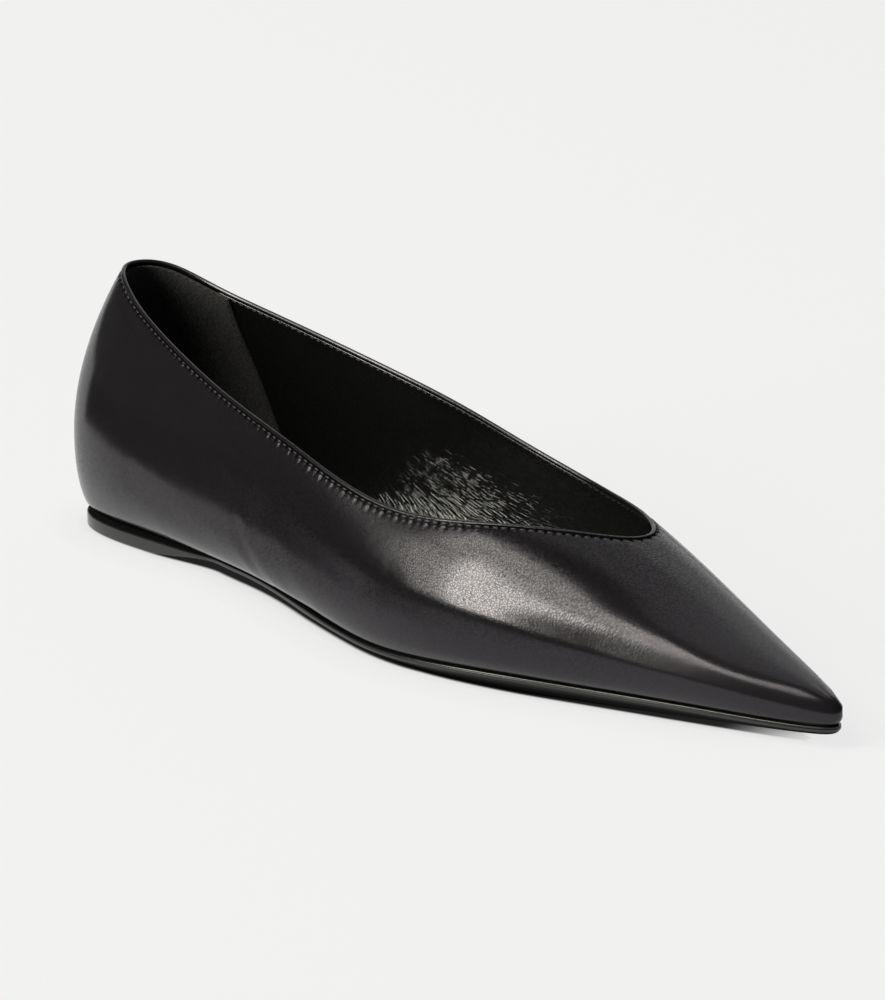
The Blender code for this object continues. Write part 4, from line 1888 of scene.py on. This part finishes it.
@dataclass
class Sewing(Piece):
    """Rows of stitches along the topline, outside and inside, and down the heel grip's two seams."""

    edge: EdgeFinish
    stitch: Triple = (1.55, 0.44, 0.36)
    # A hole is a flat dark disc of painted shade, sunk below the stitches.
    hole: Triple = (0.90, 0.60, 0.10)
    stitch_sunk: float = 0.02
    hole_sunk: float = 0.10
    lining_lift: float = 0.04
    seam_inset: float = 1.2
    seam_depth: float = 1.85
    seam_floor: float = 4.6
    seam_rows: int = 10
    seam_start: float = 0.6
    seam_step: float = 0.2

    def row(
        self, rows: StitchRow, name: str, points: Array, along: Array, up: Array
    ) -> bpy.types.Object:
        """Sew a row that goes by turns stitch, hole, stitch, hole.

        Args:
            rows: Maker of a row.
            name: The piece's name.
            points: Places of the stitches and holes, in table millimetres.
            along: Direction of the row there.
            up: Direction out of the leather there.

        Returns:
            The piece.
        """
        holes = np.arange(len(points)) % 2 == 1
        lifted = points + up * np.where(holes, -self.hole_sunk, -self.stitch_sunk)[:, None]
        sewn = rows.sew(name, (lifted + self.offset) * MM, along, up, holes, self.stitch, self.hole)
        return self.hand_over(sewn, Slot.UPPER)

    def seam(self, side: Side, grip: InnerPanel) -> Tuple[Array, Array, Array]:
        """One of the heel grip's seams.

        Args:
            side: Which side.
            grip: The heel grip.

        Returns:
            Places of the stitches and holes, and the directions along the seam and into the shoe.
        """
        end = grip.end_row if side is Side.MEDIAL else grip.start_row
        middle = self.topline.arc_at(end) - side.value * self.seam_inset
        base = self.fan.surface(middle + self.seam_step * np.array([-1.0, 0.0, 1.0]), grip.lean)
        n = normals(base, False)[1]
        path = base[1] - self.seam_depth * n
        keep = path[:, 2] > self.last.bed(path[:, 0]) + self.seam_floor
        keep[:self.seam_rows] = False
        path, n = path[keep], n[keep]
        run = np.concatenate([[0.0], np.cumsum(np.linalg.norm(np.diff(path, axis=0), axis=1))])
        where = np.arange(self.seam_start, run[-1], 0.5 * self.edge.pitch)
        spots, outs = (
            np.stack([np.interp(where, run, values[:, k]) for k in range(3)], 1) for values in (path, n)
        )
        return spots, unit(np.gradient(spots, axis=0)), -unit(outs)

    def build(self, rows: StitchRow, grip: InnerPanel, lining: InnerPanel) -> List[bpy.types.Object]:
        """Sew all the rows.

        Args:
            rows: Maker of a row.
            grip: The heel grip.
            lining: The forward lining.

        Returns:
            The pieces.
        """
        count = 2 * self.edge.count(self.topline.length)
        arcs = (np.arange(count) + 1.0) * self.topline.length / count
        points, along, out, down = self.edge_frame(arcs)
        line = points + self.edge.stitch_drop * down - (self.edge.groove + self.stitch_sunk) * out
        made = [self.row(rows, "topline_stitches", line, along, out)]
        arc = np.mod(arcs, self.topline.length)
        start, end = (self.topline.arc_at(row) for row in (grip.start_row, grip.end_row))
        front = np.where((arc > start) & (arc < end), grip.front, lining.front)
        depth = front - lining.groove + self.lining_lift
        line = points + lining.stitch_drop * down - depth[:, None] * out
        made.append(self.row(rows, "lining_stitches", line, along, -out))
        for side in Side:
            made.append(self.row(rows, f"grip_stitches_{side.name.lower()}", *self.seam(side, grip)))
        return made


# Studio


WARM: Colour = (1.0, 0.995, 0.90)


@dataclass(frozen=True)
class Lamp:
    """A soft panel of light that stands to one side of the shoe and leans over it."""

    name: str
    azimuth: float
    distance: float
    base: float
    lean: float
    shift: float
    width: float
    height: float
    radiance: float
    colour: Colour = (1.0, 1.0, 1.0)

    def build(self) -> bpy.types.Object:
        """Stand the light up; it isn't seen itself.

        Returns:
            The light.
        """
        data = bpy.data.lights.new(self.name, "AREA")
        data.shape = "RECTANGLE"
        data.size = self.width
        data.size_y = self.height
        data.energy = self.radiance * math.pi * self.width * self.height
        data.color = self.colour
        lamp = bpy.data.objects.new(self.name, data)
        bpy.context.scene.collection.objects.link(lamp)
        turn, lean = math.radians(self.azimuth), math.radians(self.lean)
        away = Vector((math.cos(turn), math.sin(turn), 0.0))
        aside = Vector((math.sin(turn), -math.cos(turn), 0.0))
        up = Vector((0.0, 0.0, 1.0))
        rise_way = up * math.cos(lean) - away * math.sin(lean)
        back = up * math.sin(lean) + away * math.cos(lean)
        foot = away * self.distance + aside * self.shift + up * self.base
        lamp.location = foot + rise_way * 0.5 * self.height
        lamp.rotation_euler = Matrix((rise_way.cross(back), rise_way, back)).transposed().to_euler()
        lamp.visible_camera = False
        return lamp


@dataclass(frozen=True)
class Studio:
    """Pale floor and backdrop, soft lights and the camera."""

    floor_size: float = 30.0
    floor_glow: float = 0.772
    floor_colour: Colour = (0.08, 0.08, 0.08)
    floor_level: float = -0.2
    floor_middle: Triple = (120.0, 0.0, 0.0)
    shade: Tuple[Span, ...] = ((-0.7, 0.98), (0.5, 0.10), (3.5, 0.04), (14.0, 0.0))
    shade_x: Tuple[float, ...] = (40.0, 70.0, 110.0, 160.0)
    shade_shift: Tuple[float, ...] = (-0.4, 2.2, 1.6, -1.0)
    shade_under: float = 1.3
    shade_lift: Span = (40.0, 70.0)
    shade_fade: Span = (236.0, 264.0)
    backdrop: float = 0.88
    fill: float = 0.09
    lens: float = 210.0
    sensor: float = 36.0
    camera: Triple = (0.8993, -0.8573, 0.4314)
    target: Triple = (0.0, 0.0, 0.031)
    lamps: Tuple[Lamp, ...] = (
        Lamp("key_light", -97.8, 3.25, 0.35, 34.8, 0.43, 0.86, 2.9, 16.0, WARM),
        Lamp("spill_light", -97.8, 3.25, 0.50, 34.8, 1.22, 0.72, 2.7, 5.5, WARM),
        Lamp("crown_light", -97.8, 1.594, 2.731, 34.8, 0.75, 1.5, 1.3, 6.5, WARM),
        Lamp("top_light", -87.0, 1.9, 3.0, 90.0, 0.0, 0.60, 1.2, 4.2, WARM),
        Lamp("back_light", 135.0, 4.0, 0.3, 0.0, 0.0, 6.0, 6.0, 0.90),
        Lamp("back_top_light", 122.0, 3.6, 5.6, 45.0, 0.0, 4.0, 3.0, 0.50),
    )
    mat: Tuple[Span, ...] = (
        (-0.292, -0.042), (-0.35, -0.17), (-0.26, -0.26), (-0.10, -0.185), (0.02, -0.165), (0.4, -0.2),
    )
    mat_reach: float = 30.0
    mat_level: float = -0.0001
    mat_colour: Colour = (0.02, 0.02, 0.02)

    def build(self, sole: Outsole) -> None:
        """Set everything up.

        Args:
            sole: What the shoe stands on the floor with.
        """
        scene = bpy.context.scene
        scene.view_settings.view_transform = "Standard"
        for lamp in self.lamps:
            lamp.build()
        self.floor(sole)
        self.lay_mat()
        self.world()
        data = bpy.data.cameras.new("camera")
        data.lens = self.lens
        data.sensor_width = self.sensor
        data.sensor_fit = "HORIZONTAL"
        data.clip_end = 100.0
        camera = bpy.data.objects.new("camera", data)
        scene.collection.objects.link(camera)
        camera.location = self.camera
        way = Vector(self.camera) - Vector(self.target)
        camera.rotation_euler = way.to_track_quat("Z", "Y").to_euler()
        scene.camera = camera

    def floor(self, sole: Outsole) -> None:
        """Lay the floor, with the shoe's shade painted close under its sole.

        Args:
            sole: The sole that gives the shade its outline.
        """
        tree = Tree("floor")
        shade, _, _ = tree.mark(EDGE_MARK)
        tree.set(
            Base_Color=tree.blend(shade, self.floor_colour, (0.0, 0.0, 0.0)),
            Roughness=0.9,
            Specular_IOR_Level=0.0,
            Emission_Color=tree.blend(shade, (1.0, 1.0, 1.0), (0.0, 0.0, 0.0)),
            Emission_Strength=self.floor_glow,
        )
        lines = self.shaded(sole, Side.LATERAL) + self.shaded(sole, Side.MEDIAL)[::-1]
        points = np.stack(lines, 1)
        shell = Shell()
        shell.grid(points[..., :3])
        marks = np.repeat(points[..., 3:], 3, axis=2).reshape(-1, 3)
        shell.piece("floor", sole.offset, tree.material, marks)

    def shaded(self, sole: Outsole, side: Side) -> List[Array]:
        """Lines of the floor on one side of the shoe, from far away to close under the sole.

        Args:
            sole: The sole.
            side: Which side.

        Returns:
            Points with the shade as their fourth number.
        """
        edge, out = sole.ring(side)
        x = edge[:, 0]
        low = sole.heights(x)[1] * rise(x, self.shade_lift)
        shift = np.interp(x, self.shade_x, self.shade_shift) - self.shade_under * low
        way = edge - np.array(self.floor_middle)
        way[:, 2] = 0.0
        far = np.array(self.floor_middle) + 0.5 * self.floor_size / MM * unit(way)
        lines = [np.column_stack([far, np.zeros(len(x))])]
        fade = 1.0 - rise(x, self.shade_fade)
        for reach, shade in self.shade[::-1]:
            inside = np.maximum(-reach - shift, 0.0)
            spots = edge + out * np.maximum(reach + shift, 0.0)[:, None]
            spots[:, 1] *= np.maximum(1.0 - inside / np.maximum(np.abs(spots[:, 1]), 0.01), 0.15)
            kept = np.clip(x, x.min() + inside, x.max() - 1.5 * inside)
            spots[:, 0] = np.where(inside > 0.0, kept, spots[:, 0])
            lines.append(np.column_stack([spots, shade * fade]))
        for line in lines:
            line[:, 2] = self.floor_level
        return lines

    def lay_mat(self) -> None:
        """Lay the dark mat that only mirrors in the leather."""
        tree = Tree("mat")
        tree.set(Base_Color=(*self.mat_colour, 1.0), Roughness=0.9, Specular_IOR_Level=0.0)
        near = [(x, y, self.mat_level) for x, y in self.mat]
        far = [(self.mat_reach * x, self.mat_reach * y, self.mat_level) for x, y in self.mat]
        count = len(near)
        mesh = bpy.data.meshes.new("mat")
        mesh.from_pydata(near + far, [], [(i, i + 1, count + i + 1, count + i) for i in range(count - 1)])
        mesh.materials.append(tree.material)
        mat = bpy.data.objects.new("mat", mesh)
        bpy.context.scene.collection.objects.link(mat)
        mat.visible_camera = False
        mat.visible_diffuse = False
        mat.visible_shadow = False

    def world(self) -> None:
        """Pale to the camera, and nearly dark to everything else."""
        world = bpy.data.worlds.new("studio")
        bpy.context.scene.world = world
        world.use_nodes = True
        nodes = world.node_tree.nodes
        links = world.node_tree.links
        path = nodes.new("ShaderNodeLightPath")
        mix = nodes.new("ShaderNodeMapRange")
        mix.inputs["To Min"].default_value = self.fill
        mix.inputs["To Max"].default_value = self.backdrop
        links.new(path.outputs["Is Camera Ray"], mix.inputs["Value"])
        nodes["Background"].inputs["Color"].default_value = (1.0, 1.0, 1.0, 1.0)
        links.new(mix.outputs["Result"], nodes["Background"].inputs["Strength"])


def frame_offset(last: Last) -> Array:
    """Move from the table to the frame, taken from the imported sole's place.

    Args:
        last: The last.

    Returns:
        The move in millimetres.
    """
    s = np.linspace(0.0, float(last.end), 2001)
    points = []
    for side in Side:
        sides = np.full(s.shape, side.value)
        points.append(last.foot(s, sides) + Outsole.overhang * last.spread(s, sides))
    ring = np.concatenate(points)
    low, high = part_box("outsole")
    middle = 0.5 * np.array(low + high) / MM - 0.5 * (ring.min(0) + ring.max(0))
    return np.array([middle[0], middle[1], 0.0])


def main() -> None:
    """Build the shoe piece by piece, then the studio."""
    logging.basicConfig(level=logging.INFO, format="%(name)s: %(message)s")
    last = Last()
    topline = Topline(last)
    common = (last, topline, Fan(topline), frame_offset(last))
    edge = EdgeFinish()
    log.info("offset %s, topline %.1f mm", np.round(common[3], 3), topline.length)
    leather = GrainLeather("upper_leather").make()
    lining_finish = CrinkledLining("lining_leather").make()
    sole_finish = InkedEdge("inked_sole").make()
    OuterLeather(*common).build(edge, leather)
    lining = InnerPanel(*common, "lining", GRIP_ROW, -GRIP_ROW, overlap=4.0, front=1.45, back=1.05)
    lining.build(lining_finish)
    grip = InnerPanel(
        *common, "heel_grip", -GRIP_ROW, GRIP_ROW, overlap=0.0, front=1.85, back=1.48, lean=0.62
    )
    grip.build(Suede("heel_suede").make())
    Insole(*common, "insole_sock").build(lining_finish)
    sole = Outsole(*common, "sole")
    sole.build(sole_finish)
    HeelLift(*common, "lift", sole).build(sole_finish)
    rows = StitchRow(Thread("thread").make(), HoleShade("hole_shade").make())
    Sewing(*common, edge).build(rows, grip, lining)
    Studio().build(sole)


if __name__ == "__main__":
    main()
